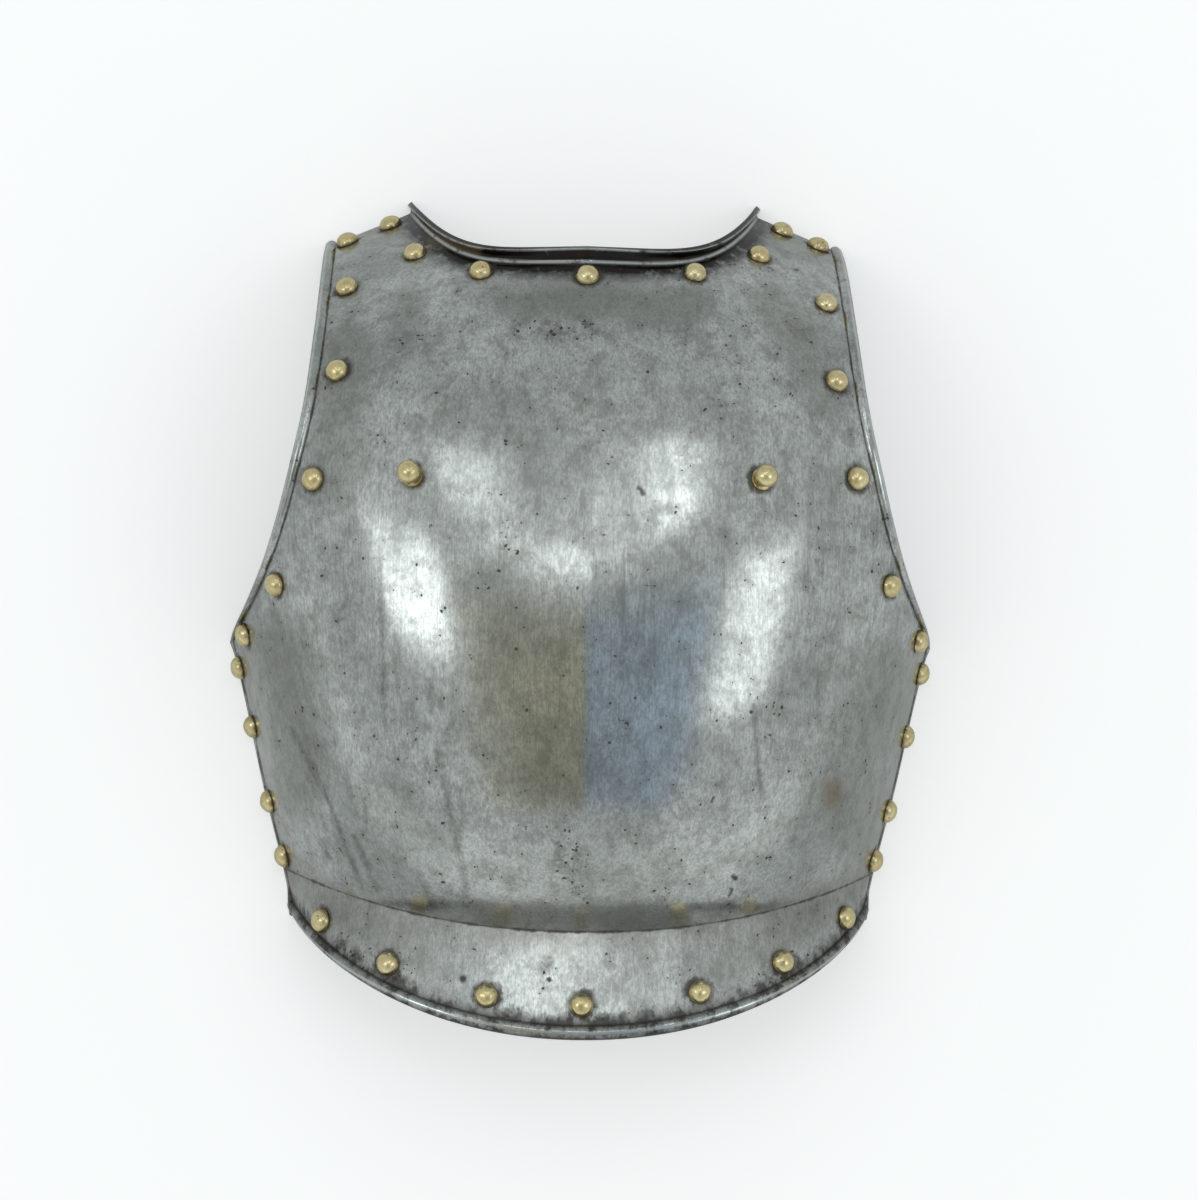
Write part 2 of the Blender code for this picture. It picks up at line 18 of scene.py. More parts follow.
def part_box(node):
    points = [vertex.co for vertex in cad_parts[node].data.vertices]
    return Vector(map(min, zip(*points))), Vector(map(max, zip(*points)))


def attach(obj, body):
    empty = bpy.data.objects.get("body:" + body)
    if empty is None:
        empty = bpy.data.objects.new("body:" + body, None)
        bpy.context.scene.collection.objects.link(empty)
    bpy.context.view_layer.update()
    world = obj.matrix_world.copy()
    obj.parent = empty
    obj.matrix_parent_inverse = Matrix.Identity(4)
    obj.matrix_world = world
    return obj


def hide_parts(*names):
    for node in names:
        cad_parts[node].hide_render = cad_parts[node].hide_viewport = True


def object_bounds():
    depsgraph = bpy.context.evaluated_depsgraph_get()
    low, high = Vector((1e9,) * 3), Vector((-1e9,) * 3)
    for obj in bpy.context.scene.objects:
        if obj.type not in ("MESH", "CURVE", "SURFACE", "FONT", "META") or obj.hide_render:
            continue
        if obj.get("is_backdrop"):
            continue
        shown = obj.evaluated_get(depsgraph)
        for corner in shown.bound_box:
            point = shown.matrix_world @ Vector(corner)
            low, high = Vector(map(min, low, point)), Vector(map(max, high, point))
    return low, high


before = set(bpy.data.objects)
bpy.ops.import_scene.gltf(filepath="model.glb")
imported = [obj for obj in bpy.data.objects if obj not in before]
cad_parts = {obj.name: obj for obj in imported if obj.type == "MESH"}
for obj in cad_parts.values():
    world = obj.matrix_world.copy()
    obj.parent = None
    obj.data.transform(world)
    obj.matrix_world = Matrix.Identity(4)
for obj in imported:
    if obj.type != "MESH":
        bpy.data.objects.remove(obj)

CAD_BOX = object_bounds()
PLATE_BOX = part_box("breastplate")

Bead = namedtuple("Bead", "width height")
Flare = namedtuple("Flare", "radius lip turn")
Station = namedtuple("Station", "height share")

# Form of the chest
CHEST_HEIGHT = 0.335  # waist crease to root of the neck flange, on the centre line
CHEST_WIDTH = 0.362  # across the underarm corners
CHEST_DEPTH = 0.145  # crest of the chest above the back edges
WALL = 0.0028
RIDGE_HEIGHT = 0.0032  # how far the medial ridge stands out of the round form
RIDGE_SPREAD = 0.030  # distance over which it fades to each side
RIDGE_ROUNDING = 0.0005

# Outline
UNDERARM_HEIGHT = 0.149
SHOULDER_START = 0.224  # height at which the chest begins to turn over the shoulders
SHOULDER_OUTER = 0.1355  # centre line to outer corner of a shoulder end
SHOULDER_FALL = 0.42  # how much a shoulder end falls for each metre outwards
HORN_ACROSS = 0.0925  # centre line to the horn, where neck and shoulder end meet
HORN_HEIGHT = 0.3755
NECK_CURVE = 4.6  # how squarely the neck root turns up to the horns
WAIST_RISE = 0.032  # how much higher the waist crease is at the side edges
WAIST_CURVE = 2.2

# Fullness of the sections: exponent of the curve, and the share of it that is used
SIDE_FULLNESS = 2.8
SIDE_REACH = 0.98
SHOULDER_FULLNESS = 2.4
SHOULDER_REACH = 0.94

# Waist flange
FLANGE_DROP = 0.0531  # waist crease to bottom edge, on the centre line
FLANGE_DEPTH = 0.093  # bottom edge above the back edges, on the centre line
FLANGE_CORNER_ACROSS = 0.1472
FLANGE_CORNER_HEIGHT = 0.0094
BOTTOM_ARC_ACROSS = 0.1586  # half width of the ellipse that the bottom edge follows

# Neck flange: radius and angle of its bend, and the straight lip past the bend
NECK_FLARE = Flare(0.0038, 0.0040, math.radians(68))  # at the middle of the neck
HORN_FLARE = Flare(0.0022, 0.0018, math.radians(110))  # at the horns

# Beads rolled along the edges
ARMHOLE_BEAD = Bead(0.0060, 0.0026)
SIDE_BEAD = Bead(0.0028, 0.0009)
BOTTOM_BEAD = Bead(0.0070, 0.0028)
BEAD_BLEND = 0.012  # run in which one bead turns into the next
BOTTOM_BEAD_TOP = 0.024  # height at which the bottom bead has run out

# Rows and columns of the plate's mesh
INNER_COLUMNS = 36  # centre line to horn
OUTER_COLUMNS = 20  # horn to the foot of the edge bead
BEAD_LINES = 8
FLANGE_ROWS = 14
CHEST_ROWS = 44
UPPER_ROWS = 20
SHOULDER_ROWS = 46
FLARE_ROWS = 7
LIP_ROWS = 3
EDGE_SHARE = 0.02  # part of a row over which its run at the edge is taken
ROW_CROWDING = 1.4  # how much closer the rows lie by the waist crease
TOLERANCE = 0.00001  # points closer than this count as one
SHARP_ANGLE = math.radians(40)  # edges that turn more than this are drawn sharp

# Faint hollows that the hammer left
HAMMERING = 0.00012
HAMMERING_SIZE = 0.028
HAMMERING_START = 0.02  # height above the back plane from which they are full

# Depth of the centre line before the shoulders turn over: share of the way from
# waist crease to neck root, share of CHEST_DEPTH
CREST_LINE = (
    Station(0.00, 0.586),
    Station(0.06, 0.737),
    Station(0.18, 0.907),
    Station(0.34, 0.987),
    Station(0.43, 1.000),
    Station(0.52, 0.996),
    Station(0.67, 0.950),
    Station(0.85, 0.857),
    Station(0.95, 0.798),
    Station(1.02, 0.740),
    Station(1.13, 0.620),
)

# Half width in the back plane: share of UNDERARM_HEIGHT, share of half CHEST_WIDTH
SIDE_LINE = (
    Station(0.00, 0.800),
    Station(0.27, 0.853),
    Station(0.44, 0.890),
    Station(0.67, 0.934),
    Station(0.87, 0.972),
    Station(1.00, 1.000),
    Station(1.40, 1.080),
    Station(1.74, 1.130),
    Station(2.10, 1.160),
    Station(2.56, 1.180),
)

# Armhole edge: share of the way from underarm to shoulder end, share of the way
# from the shoulder's outer corner out to the underarm corner
ARMHOLE_LINE = (
    Station(0.00, 1.00),
    Station(0.04, 0.86),
    Station(0.10, 0.69),
    Station(0.24, 0.43),
    Station(0.41, 0.235),
    Station(0.51, 0.14),
    Station(0.63, 0.07),
    Station(0.80, 0.015),
    Station(1.00, 0.00),
)

# How strong the medial ridge is: share of the way from waist crease to neck root
RIDGE_LINE = (
    Station(0.00, 0.35),
    Station(0.20, 0.90),
    Station(0.45, 1.00),
    Station(0.70, 0.35),
    Station(0.90, 0.05),
    Station(1.15, 0.00),
)

# Brass pieces
HEAD_RADIUS = 0.0061
HEAD_HEIGHT = 0.0056
HEAD_RIM = 0.0003  # chamfer at the foot of a rivet head
SHANK_RADIUS = 0.0021
TAIL_RADIUS = 0.0042
TAIL_HEIGHT = 0.0012
STUD_BASE_RADIUS = 0.0056
STUD_BASE_HEIGHT = 0.0012
STUD_BASE_EDGE = 0.0004  # how far the top of the base is eased in
STUD_NECK_RADIUS = 0.0027
STUD_NECK_LENGTH = 0.0030
STUD_NECK_FOOT = 0.0006  # chamfer where the neck meets the base
STUD_HEAD_RADIUS = 0.0058
STUD_HEAD_HEIGHT = 0.0080
TURNED_SIDES = 40
DOME_STEPS = 9
TAIL_STEPS = 5
DENT_DEPTH = 0.00022
DENT_SIZE = 0.0042
DENT_START = 0.001  # height above the plate from which a head has dents
DENT_LEVEL = 0.25  # noise at which a head keeps its turned form

# Where rays that find the plate's two faces start: outside a piece's top, and
# inwards of its middle
OUTSIDE_START = 0.001
INSIDE_START = 0.02

# Studio
CAMERA_LENS = 120.0  # on a 36 mm wide sensor
CAMERA_DISTANCE = 2.024
CAMERA_TARGET = Vector((0.0079, 0.0034, 0.060))
CAMERA_LEAN = math.radians(5)  # off the vertical, towards the waist
CAMERA_SIDE = math.radians(-1.43)
CAMERA_ROLL = math.radians(0.44)
FLOOR_SIZE = 12.0
FLOOR_LIFT = 0.42  # how much brighter the camera sees the floor than it is lit
PANEL_HEIGHT = 3.5
PANEL_COLOUR = (0.94, 0.99, 1.0)

# Marks on the steel as the plate lies, seen from above: where each starts and ends,
# and half its width. A round mark ends where it starts.
Mark = namedtuple("Mark", "start end radius")
MARK_FILL = 1.4  # above 1, so that a broad mark is full before its middle line

# The largest single pits
PITS = (
    Mark((0.025, 0.052), (0.027, 0.049), 0.0017),
    Mark((-0.043, 0.010), (-0.043, 0.010), 0.0012),
    Mark((-0.005, 0.002), (-0.005, 0.002), 0.0012),
    Mark((-0.011, -0.041), (-0.011, -0.041), 0.0011),
    Mark((0.024, -0.051), (0.024, -0.051), 0.0011),
    Mark((-0.034, -0.028), (-0.034, -0.028), 0.0012),
    Mark((-0.059, -0.188), (-0.059, -0.188), 0.0028),
    Mark((-0.016, -0.188), (-0.016, -0.188), 0.0018),
    Mark((-0.054, -0.150), (-0.054, -0.150), 0.0011),
    Mark((0.081, -0.057), (0.081, -0.057), 0.0014),
    Mark((0.075, -0.137), (0.075, -0.137), 0.0022),
    Mark((0.073, -0.146), (0.074, -0.143), 0.0012),
    Mark((0.063, -0.098), (0.062, -0.101), 0.0012),
    Mark((0.069, 0.127), (0.069, 0.127), 0.0010),
    Mark((0.093, 0.095), (0.093, 0.095), 0.0010),
)

# Dark streaks that run down towards the waist
STREAKS = (
    Mark((-0.134, -0.082), (-0.110, -0.143), 0.0022),
    Mark((-0.113, -0.118), (-0.102, -0.144), 0.0028),
    Mark((-0.082, -0.135), (-0.074, -0.153), 0.0032),
    Mark((-0.072, -0.078), (-0.057, -0.146), 0.0034),
    Mark((-0.130, -0.119), (-0.127, -0.128), 0.0026),
    Mark((-0.101, 0.020), (-0.098, -0.070), 0.0020),
    Mark((0.082, -0.054), (0.086, -0.093), 0.0024),
    Mark((-0.108, -0.100), (-0.107, -0.111), 0.0020),
    Mark((-0.076, -0.043), (-0.075, -0.058), 0.0028),
    Mark((-0.146, -0.064), (-0.132, -0.092), 0.0024),
)

# Places where fine pits crowd
CLUSTERS = (
    Mark((-0.061, 0.012), (-0.060, 0.009), 0.0045),
    Mark((-0.056, 0.110), (-0.055, 0.110), 0.0035),
    Mark((-0.120, -0.009), (-0.119, -0.010), 0.0040),
    Mark((-0.016, -0.180), (-0.016, -0.190), 0.0060),
    Mark((-0.030, 0.132), (0.000, 0.134), 0.0100),
    Mark((0.110, -0.180), (0.090, -0.186), 0.0120),
    Mark((-0.120, -0.172), (-0.090, -0.184), 0.0100),
    Mark((-0.010, -0.115), (-0.006, -0.140), 0.0110),
)

# Brown stains
RUST = (
    Mark((0.124, -0.093), (0.124, -0.096), 0.0095),
    Mark((0.084, -0.152), (0.082, -0.152), 0.0040),
    Mark((-0.078, 0.189), (-0.056, 0.181), 0.0060),
)

# Broad dull places
DULL = (
    Mark((-0.091, 0.150), (-0.091, 0.140), 0.016),
    Mark((-0.120, 0.125), (-0.124, 0.060), 0.022),
    Mark((0.095, 0.150), (0.120, 0.100), 0.020),
    Mark((-0.040, 0.150), (0.050, 0.150), 0.018),
    Mark((-0.150, -0.020), (-0.140, -0.090), 0.022),
    Mark((0.150, -0.030), (0.135, -0.110), 0.022),
    Mark((-0.130, -0.155), (-0.080, -0.178), 0.014),
    Mark((0.120, -0.155), (0.075, -0.180), 0.018),
    Mark((-0.050, -0.155), (0.050, -0.158), 0.008),
)


def along(line, at):
    """Natural cubic spline through a line's stations."""
    place = np.array([station.height for station in line])
    value = np.array([station.share for station in line])
    gap = np.diff(place)
    rise = np.diff(value) / gap
    bend = np.eye(len(place))
    load = np.zeros(len(place))
    for i in range(1, len(place) - 1):
        bend[i, i - 1 : i + 2] = gap[i - 1], 2 * (gap[i - 1] + gap[i]), gap[i]
        load[i] = 6 * (rise[i] - rise[i - 1])
    moment = np.linalg.solve(bend, load)
    at = np.clip(at, place[0], place[-1])
    i = np.clip(np.searchsorted(place, at) - 1, 0, len(gap) - 1)
    after = at - place[i]
    before = place[i + 1] - at
    cubic = moment[i] * before**3 + moment[i + 1] * after**3
    low = value[i] / gap[i] - moment[i] * gap[i] / 6
    high = value[i + 1] / gap[i] - moment[i + 1] * gap[i] / 6
    return cubic / (6 * gap[i]) + low * before + high * after


def ease(share):
    """Smooth step from 0 to 1."""
    share = np.clip(share, 0.0, 1.0)
    return share * share * (3 - 2 * share)


def round_off(share, fullness, reach):
    """Falls from 1 at share 0 to 0 at share 1, like the quarter of a full oval."""
    end = (1 - reach**fullness) ** (1 / fullness)
    used = reach * np.clip(share, 0.0, 1.0)
    return ((1 - used**fullness) ** (1 / fullness) - end) / (1 - end)


def half_width(height):
    return CHEST_WIDTH / 2 * along(SIDE_LINE, height / UNDERARM_HEIGHT)


def shoulder_line(across):
    """Height of the shoulder ends, run on over the neck."""
    return HORN_HEIGHT - SHOULDER_FALL * (np.abs(across) - HORN_ACROSS)


def neck_line(across):
    """Height of the neck flange's root."""
    turn = (np.abs(across) / HORN_ACROSS) ** NECK_CURVE
    return CHEST_HEIGHT + (HORN_HEIGHT - CHEST_HEIGHT) * turn


def top_line(across):
    across = np.abs(across)
    return np.where(across < HORN_ACROSS, neck_line(across), shoulder_line(across))


WAIST_ACROSS = float(half_width(WAIST_RISE))


def waist_line(across):
    return WAIST_RISE * (np.abs(across) / WAIST_ACROSS) ** WAIST_CURVE


def armhole_across(height):
    top = shoulder_line(SHOULDER_OUTER)
    share = (height - UNDERARM_HEIGHT) / (top - UNDERARM_HEIGHT)
    return SHOULDER_OUTER + (CHEST_WIDTH / 2 - SHOULDER_OUTER) * along(ARMHOLE_LINE, share)


def edge_across(height):
    """Half width of the plate itself: side edge, then armhole edge."""
    return np.where(height <= UNDERARM_HEIGHT, half_width(height), armhole_across(height))


def chest_depth(across, height):
    """Outer face of the chest above the back plane."""
    waist = waist_line(across)
    share = (height - waist) / (CHEST_HEIGHT - waist)
    crest = CHEST_DEPTH * along(CREST_LINE, share)
    sideways = round_off(np.abs(across) / half_width(height), SIDE_FULLNESS, SIDE_REACH)
    over = (height - SHOULDER_START) / (shoulder_line(across) - SHOULDER_START)
    shoulder = round_off(over, SHOULDER_FULLNESS, SHOULDER_REACH)
    away = np.hypot(across, RIDGE_ROUNDING) - RIDGE_ROUNDING
    ridge = RIDGE_HEIGHT * along(RIDGE_LINE, share) * (np.exp(-away / RIDGE_SPREAD) - 1)
    return (crest + ridge) * sideways * shoulder


def spread(share, turn):
    """Spacing that is closer where a section turns down to its edge."""
    return np.sin(share * turn) / np.sin(turn)


def section_turn(height, reach):
    """Angle through which the section at a height turns before it is cut."""
    return np.arcsin(reach * edge_across(height) / half_width(height))


def chest_row(edge_height, centre_height, share):
    across = edge_across(edge_height) * spread(share, section_turn(edge_height, SIDE_REACH))
    bow = np.abs(across / edge_across(edge_height)) ** WAIST_CURVE
    height = centre_height + (edge_height - centre_height) * bow
    return np.stack([across, height, chest_depth(across, height)], axis=-1)


def shoulder_row(level, share):
    """A row over the shoulders: level 0 where they start to turn, 1 at the top edge."""
    climb = spread(level, math.asin(SHOULDER_REACH))
    edge = SHOULDER_START + (shoulder_line(SHOULDER_OUTER) - SHOULDER_START) * climb
    across = edge_across(edge) * spread(share, section_turn(edge, SIDE_REACH))
    height = SHOULDER_START + (top_line(across) - SHOULDER_START) * climb
    return np.stack([across, height, chest_depth(across, height)], axis=-1)


def crease_point(share):
    return chest_row(WAIST_RISE, 0.0, share)


def bottom_point(share):
    """The bottom edge: part of an ellipse seen from the front."""
    across = FLANGE_CORNER_ACROSS * spread(share, section_turn(WAIST_RISE, SIDE_REACH))
    lift = 1 - np.sqrt(1 - (across / BOTTOM_ARC_ACROSS) ** 2)
    full_lift = 1 - math.sqrt(1 - (FLANGE_CORNER_ACROSS / BOTTOM_ARC_ACROSS) ** 2)
    height = (FLANGE_CORNER_HEIGHT + FLANGE_DROP) * lift / full_lift - FLANGE_DROP
    depth = FLANGE_DEPTH * round_off(across / FLANGE_CORNER_ACROSS, SIDE_FULLNESS, SIDE_REACH)
    return np.stack([across, height, depth], axis=-1)


def flange_point(drop, share):
    """A point of the waist flange: drop 0 at its bottom edge, 1 at the crease."""
    drop = np.asarray(drop)[..., None]
    return bottom_point(share) * (1 - drop) + crease_point(share) * drop


def flange_length(share):
    return np.linalg.norm(crease_point(share) - bottom_point(share), axis=-1)


def edge_bead(height):
    """Bead along the side and armhole edges at a height."""
    armhole = ease((height - UNDERARM_HEIGHT) / BEAD_BLEND + 0.5)
    bottom = ease((BOTTOM_BEAD_TOP - height) / BEAD_BLEND)
    sizes = zip(SIDE_BEAD, ARMHOLE_BEAD, BOTTOM_BEAD)
    return Bead(*(side + (up - side) * armhole + (low - side) * bottom for side, up, low in sizes))


def bead_rise(distance, bead):
    """Height of a half-round bead at a distance from the edge."""
    off_centre = np.clip(2 * distance / bead.width - 1, -1.0, 1.0)
    return bead.height * np.sqrt(1 - off_centre**2)


TOP_TURN = float(section_turn(shoulder_line(SHOULDER_OUTER), SIDE_REACH))
HORN_SHARE = math.asin(HORN_ACROSS / SHOULDER_OUTER * math.sin(TOP_TURN)) / TOP_TURN
BEAD_SHARES = (1 + np.cos(np.linspace(0, math.pi, BEAD_LINES))) / 2  # foot of a bead to the edge


def half_row(row, edge_height):
    """One row of the right half: its points and how far its edge bead stands out."""
    bead = edge_bead(edge_height)
    last = row(np.array([1 - EDGE_SHARE, 1.0]))
    run = np.linalg.norm(last[1] - last[0]) / EDGE_SHARE
    foot = 1 - bead.width / run
    inner = np.linspace(0, HORN_SHARE, INNER_COLUMNS + 1)
    outer = np.linspace(HORN_SHARE, foot, OUTER_COLUMNS + 1)[1:-1]
    share = np.concatenate([inner, outer, 1 - BEAD_SHARES * bead.width / run])
    rise = np.zeros(len(share))
    rise[-BEAD_LINES:] = bead_rise(BEAD_SHARES * bead.width, bead)
    return row(share), rise


def flange_rows():
    """Rows of the waist flange: the bottom bead, then up to the crease."""
    for line in BEAD_SHARES[::-1]:
        distance = line * BOTTOM_BEAD.width

        def row(share, distance=distance):
            return flange_point(distance / flange_length(share), share)

        points, rise = half_row(row, row(np.array([1.0]))[0, 1])
        yield points, np.maximum(rise, bead_rise(distance, BOTTOM_BEAD))
    for level in np.linspace(0, 1, FLANGE_ROWS + 1)[1:-1]:

        def row(share, level=level):
            foot = BOTTOM_BEAD.width / flange_length(share)
            return flange_point(foot + (1 - foot) * level, share)

        yield half_row(row, row(np.array([1.0]))[0, 1])


def chest_rows():
    """Rows from the waist crease up to the shoulder ends and the neck."""
    for level in np.linspace(0, 1, CHEST_ROWS) ** ROW_CROWDING:
        edge = WAIST_RISE + (UNDERARM_HEIGHT - WAIST_RISE) * level
        yield half_row(lambda share: chest_row(edge, UNDERARM_HEIGHT * level, share), edge)
    for level in np.linspace(0, 1, UPPER_ROWS)[1:]:
        edge = UNDERARM_HEIGHT + (SHOULDER_START - UNDERARM_HEIGHT) * level
        yield half_row(lambda share: chest_row(edge, edge, share), edge)
    for level in np.linspace(0, 1, SHOULDER_ROWS)[1:]:
        edge = SHOULDER_START + (shoulder_line(SHOULDER_OUTER) - SHOULDER_START) * level
        yield half_row(lambda share: shoulder_row(level, share), edge)


def unit(vectors):
    return vectors / np.linalg.norm(vectors, axis=-1, keepdims=True)


def surface_normals(points):
    return unit(np.cross(np.gradient(points, axis=1), np.gradient(points, axis=0)))


def neck_flange(root, normals):
    """Rows of the flange that bends outwards from the neck root."""
    outward = unit(np.cross(normals, np.gradient(root, axis=0)))
    normals = normals.copy()
    for end, side in ((0, -1), (-1, 1)):
        normals[end] = unit(np.array([side * SHOULDER_FALL, 1.0, 0.0]))
        outward[end] = unit(np.array([-side, SHOULDER_FALL, 0.0]))
    horn = ease(np.abs(root[:, 0]) / HORN_ACROSS)[:, None]
    radius, lip, turn = (neck + (end - neck) * horn for neck, end in zip(NECK_FLARE, HORN_FLARE))
    points = []
    facing = []
    for level in range(1, FLARE_ROWS + LIP_ROWS + 1):
        angle = turn * min(level / FLARE_ROWS, 1.0)
        past = lip * max(level - FLARE_ROWS, 0) / LIP_ROWS
        point = root + radius * (np.sin(angle) * outward + (1 - np.cos(angle)) * normals)
        points.append(point + past * (np.cos(angle) * outward + np.sin(angle) * normals))
        facing.append(np.cos(angle) * normals - np.sin(angle) * outward)
    return np.array(points), np.array(facing)


def mirrored(half, flip):
    """Both halves of the rows: the right one, and its mirror image before it."""
    left = half[:, :0:-1].copy()
    if flip:
        left[..., 0] *= -1
    return np.concatenate([left, half], axis=1)


def hammered(points):
    """Height of the faint hammer marks at each point, which only sink the face."""
    marks = [noise.noise(Vector(point) / HAMMERING_SIZE) for point in points.reshape(-1, 3)]
    return HAMMERING * (np.array(marks).reshape(points.shape[:2]) - 0.5)


def plate_faces():
    """Outer and inner face of the plate as grids of points, NaN where there is none."""
    rows = list(flange_rows()) + list(chest_rows())
    base = mirrored(np.array([points for points, rise in rows]), flip=True)
    rise = mirrored(np.array([rise for points, rise in rows]), flip=False)
    normals = surface_normals(base)
    middle = base.shape[1] // 2
    neck = slice(middle - INNER_COLUMNS, middle + INNER_COLUMNS + 1)
    lip, lip_normals = neck_flange(base[-1, neck], normals[-1, neck])
    outer = np.full((len(base) + len(lip), base.shape[1], 3), np.nan)
    inner = outer.copy()
    inland = ease(base[..., 2] / HAMMERING_START)
    rise = rise + hammered(base) * inland
    outer[: len(base)] = base + rise[..., None] * normals
    inner[: len(base)] = base - WALL * normals
    outer[len(base) :, neck] = lip
    inner[len(base) :, neck] = lip - WALL * lip_normals
    on_floor = np.zeros(outer.shape[:2], dtype=bool)
    on_floor[: len(base)] = base[..., 2] < TOLERANCE
    on_floor[len(base) :, [neck.start, neck.stop - 1]] = True
    for face in (outer, inner):
        face[on_floor, 2] = 0.0
        face[..., 2] = np.maximum(face[..., 2], 0.0)
    return outer, inner


def forge_plate():
    """The plate as one closed solid, lined up with its CAD node."""
    outer, inner = plate_faces()
    shift = PLATE_BOX[1][1] - max(np.nanmax(outer[..., 1]), np.nanmax(inner[..., 1]))
    rows, columns = outer.shape[:2]
    outer = outer.reshape(-1, 3) + (0.0, shift, 0.0)
    inner = inner.reshape(-1, 3) + (0.0, shift, 0.0)
    bm = bmesh.new()
    place = bm.verts.layers.int.new("place")
    inside = bm.verts.layers.float.new("inside")
    bmesh.ops.create_grid(bm, x_segments=columns - 1, y_segments=rows - 1, size=1.0)
    for index, vertex in enumerate(bm.verts):
        vertex[place] = index
        vertex[inside] = 1.0
    absent = [vertex for vertex in bm.verts if np.isnan(outer[vertex[place], 0])]
    bmesh.ops.delete(bm, geom=absent, context="VERTS")
    for vertex in bm.verts:
        vertex.co = inner[vertex[place]]
    grown = bmesh.ops.extrude_face_region(bm, geom=bm.faces[:], use_keep_orig=True)
    for item in grown["geom"]:
        if isinstance(item, bmesh.types.BMVert):
            item.co = outer[item[place]]
            item[inside] = 0.0
    bmesh.ops.recalc_face_normals(bm, faces=bm.faces)
    return bm, outer.reshape(rows, columns, 3)


def finish_piece(name, bm, nodes, material):
    """Makes a mesh a piece that stands for CAD nodes."""
    mesh = bpy.data.meshes.new(name)
    bm.to_mesh(mesh)
    bm.free()
    mesh.materials.append(material)
    mesh.shade_smooth()
    mesh.set_sharp_from_angle(angle=SHARP_ANGLE)
    piece = bpy.data.objects.new(name, mesh)
    bpy.context.scene.collection.objects.link(piece)
    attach(piece, "root")
    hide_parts(*nodes)


def dome(radius, height, start, steps):
    """Points of a dome above a start height, from its rim to its top."""
    angles = [math.pi / 2 * step / steps for step in range(steps + 1)]
    return [(radius * math.cos(angle), start + height * math.sin(angle)) for angle in angles]


def tail_points(wall):
    """Hammered tail on the inner face, then the shank up to the outer face."""
    upright = dome(TAIL_RADIUS, TAIL_HEIGHT, 0.0, TAIL_STEPS)
    tail = [(radius, -wall - height) for radius, height in reversed(upright)]
    return tail + [(SHANK_RADIUS, -wall), (SHANK_RADIUS, 0.0)]


def rivet_points(wall):
    """Profile of a rivet: radius and height above the outer face, from tail to top."""
    rim = [(HEAD_RADIUS - HEAD_RIM, 0.0), (HEAD_RADIUS, HEAD_RIM)]
    head = dome(HEAD_RADIUS, HEAD_HEIGHT - HEAD_RIM, HEAD_RIM, DOME_STEPS)
    return tail_points(wall) + rim + head[1:]


def stud_points(wall):
    """Profile of a strap stud: tail, base, neck and rounded head."""
    neck_foot = STUD_BASE_HEIGHT
    head_foot = neck_foot + STUD_NECK_LENGTH
    lower = 0.4 * STUD_HEAD_HEIGHT
    return (
        tail_points(wall)
        + [
            (STUD_BASE_RADIUS, 0.0),
            (STUD_BASE_RADIUS, 0.6 * neck_foot),
            (STUD_BASE_RADIUS - STUD_BASE_EDGE, neck_foot),
            (STUD_NECK_RADIUS + STUD_NECK_FOOT, neck_foot),
            (STUD_NECK_RADIUS, neck_foot + STUD_NECK_FOOT),
            (STUD_NECK_RADIUS, head_foot),
            (0.75 * STUD_HEAD_RADIUS, head_foot + 0.1 * STUD_HEAD_HEIGHT),
            (0.93 * STUD_HEAD_RADIUS, head_foot + 0.23 * STUD_HEAD_HEIGHT),
        ]
        + dome(STUD_HEAD_RADIUS, STUD_HEAD_HEIGHT - lower, head_foot + lower, DOME_STEPS)
    )


def turn_brass(profile, place, seed):
    """A turned brass piece with faint dents, set in its place."""
    bm = bmesh.new()
    corners = [bm.verts.new((radius, 0.0, height)) for radius, height in profile]
    edges = [bm.edges.new(pair) for pair in zip(corners, corners[1:])]
    bmesh.ops.spin(
        bm,
        geom=corners + edges,
        cent=(0.0, 0.0, 0.0),
        axis=(0.0, 0.0, 1.0),
        dvec=(0.0, 0.0, 0.0),
        angle=2 * math.pi,
        steps=TURNED_SIDES,
        use_merge=True,
    )
    bmesh.ops.remove_doubles(bm, verts=bm.verts, dist=TOLERANCE)
    bmesh.ops.recalc_face_normals(bm, faces=bm.faces)
    bm.normal_update()
    above = bm.verts.layers.float.new("above_plate")
    for vertex in bm.verts:
        vertex[above] = abs(vertex.co.z)
        if vertex.co.z > DENT_START:
            dent = noise.noise(vertex.co / DENT_SIZE + Vector((seed, 0.0, 0.0)))
            vertex.co += vertex.normal * (dent - DENT_LEVEL) * DENT_DEPTH
    bmesh.ops.transform(bm, matrix=place, verts=bm.verts)
    return bm


def seat_of(name, plate_tree):
    """Where a CAD rivet stands: its place on the plate and the wall under it."""
    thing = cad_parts[name]
    points = [thing.matrix_world @ vertex.co for vertex in thing.data.vertices]
    middle = sum(points, Vector()) / len(points)
    outward = plate_tree.find_nearest(middle)[1]
    top = max(points, key=lambda point: (point - middle).dot(outward))
    axis = (top - middle).normalized()
    front = plate_tree.ray_cast(top + axis * OUTSIDE_START, -axis)[0]
    back = plate_tree.ray_cast(middle - axis * INSIDE_START, axis)[0]
    turn = axis.to_track_quat("Z", "Y").to_matrix().to_4x4()
    return Matrix.Translation(front) @ turn, (front - back).length


def feed(tree, made, inputs):
    """Gives a node its inputs: another node's output is linked, a value is set."""
    for socket, value in inputs.items():
        if isinstance(value, bpy.types.NodeSocket):
            tree.links.new(value, made.inputs[socket])
        else:
            made.inputs[socket].default_value = value


def node(tree, kind, inputs=(), **settings):
    """A shader node with its settings, and values or outputs for its inputs."""
    made = tree.nodes.new("ShaderNode" + kind)
    for name, value in settings.items():
        setattr(made, name, value)
    feed(tree, made, dict(inputs))
    return made


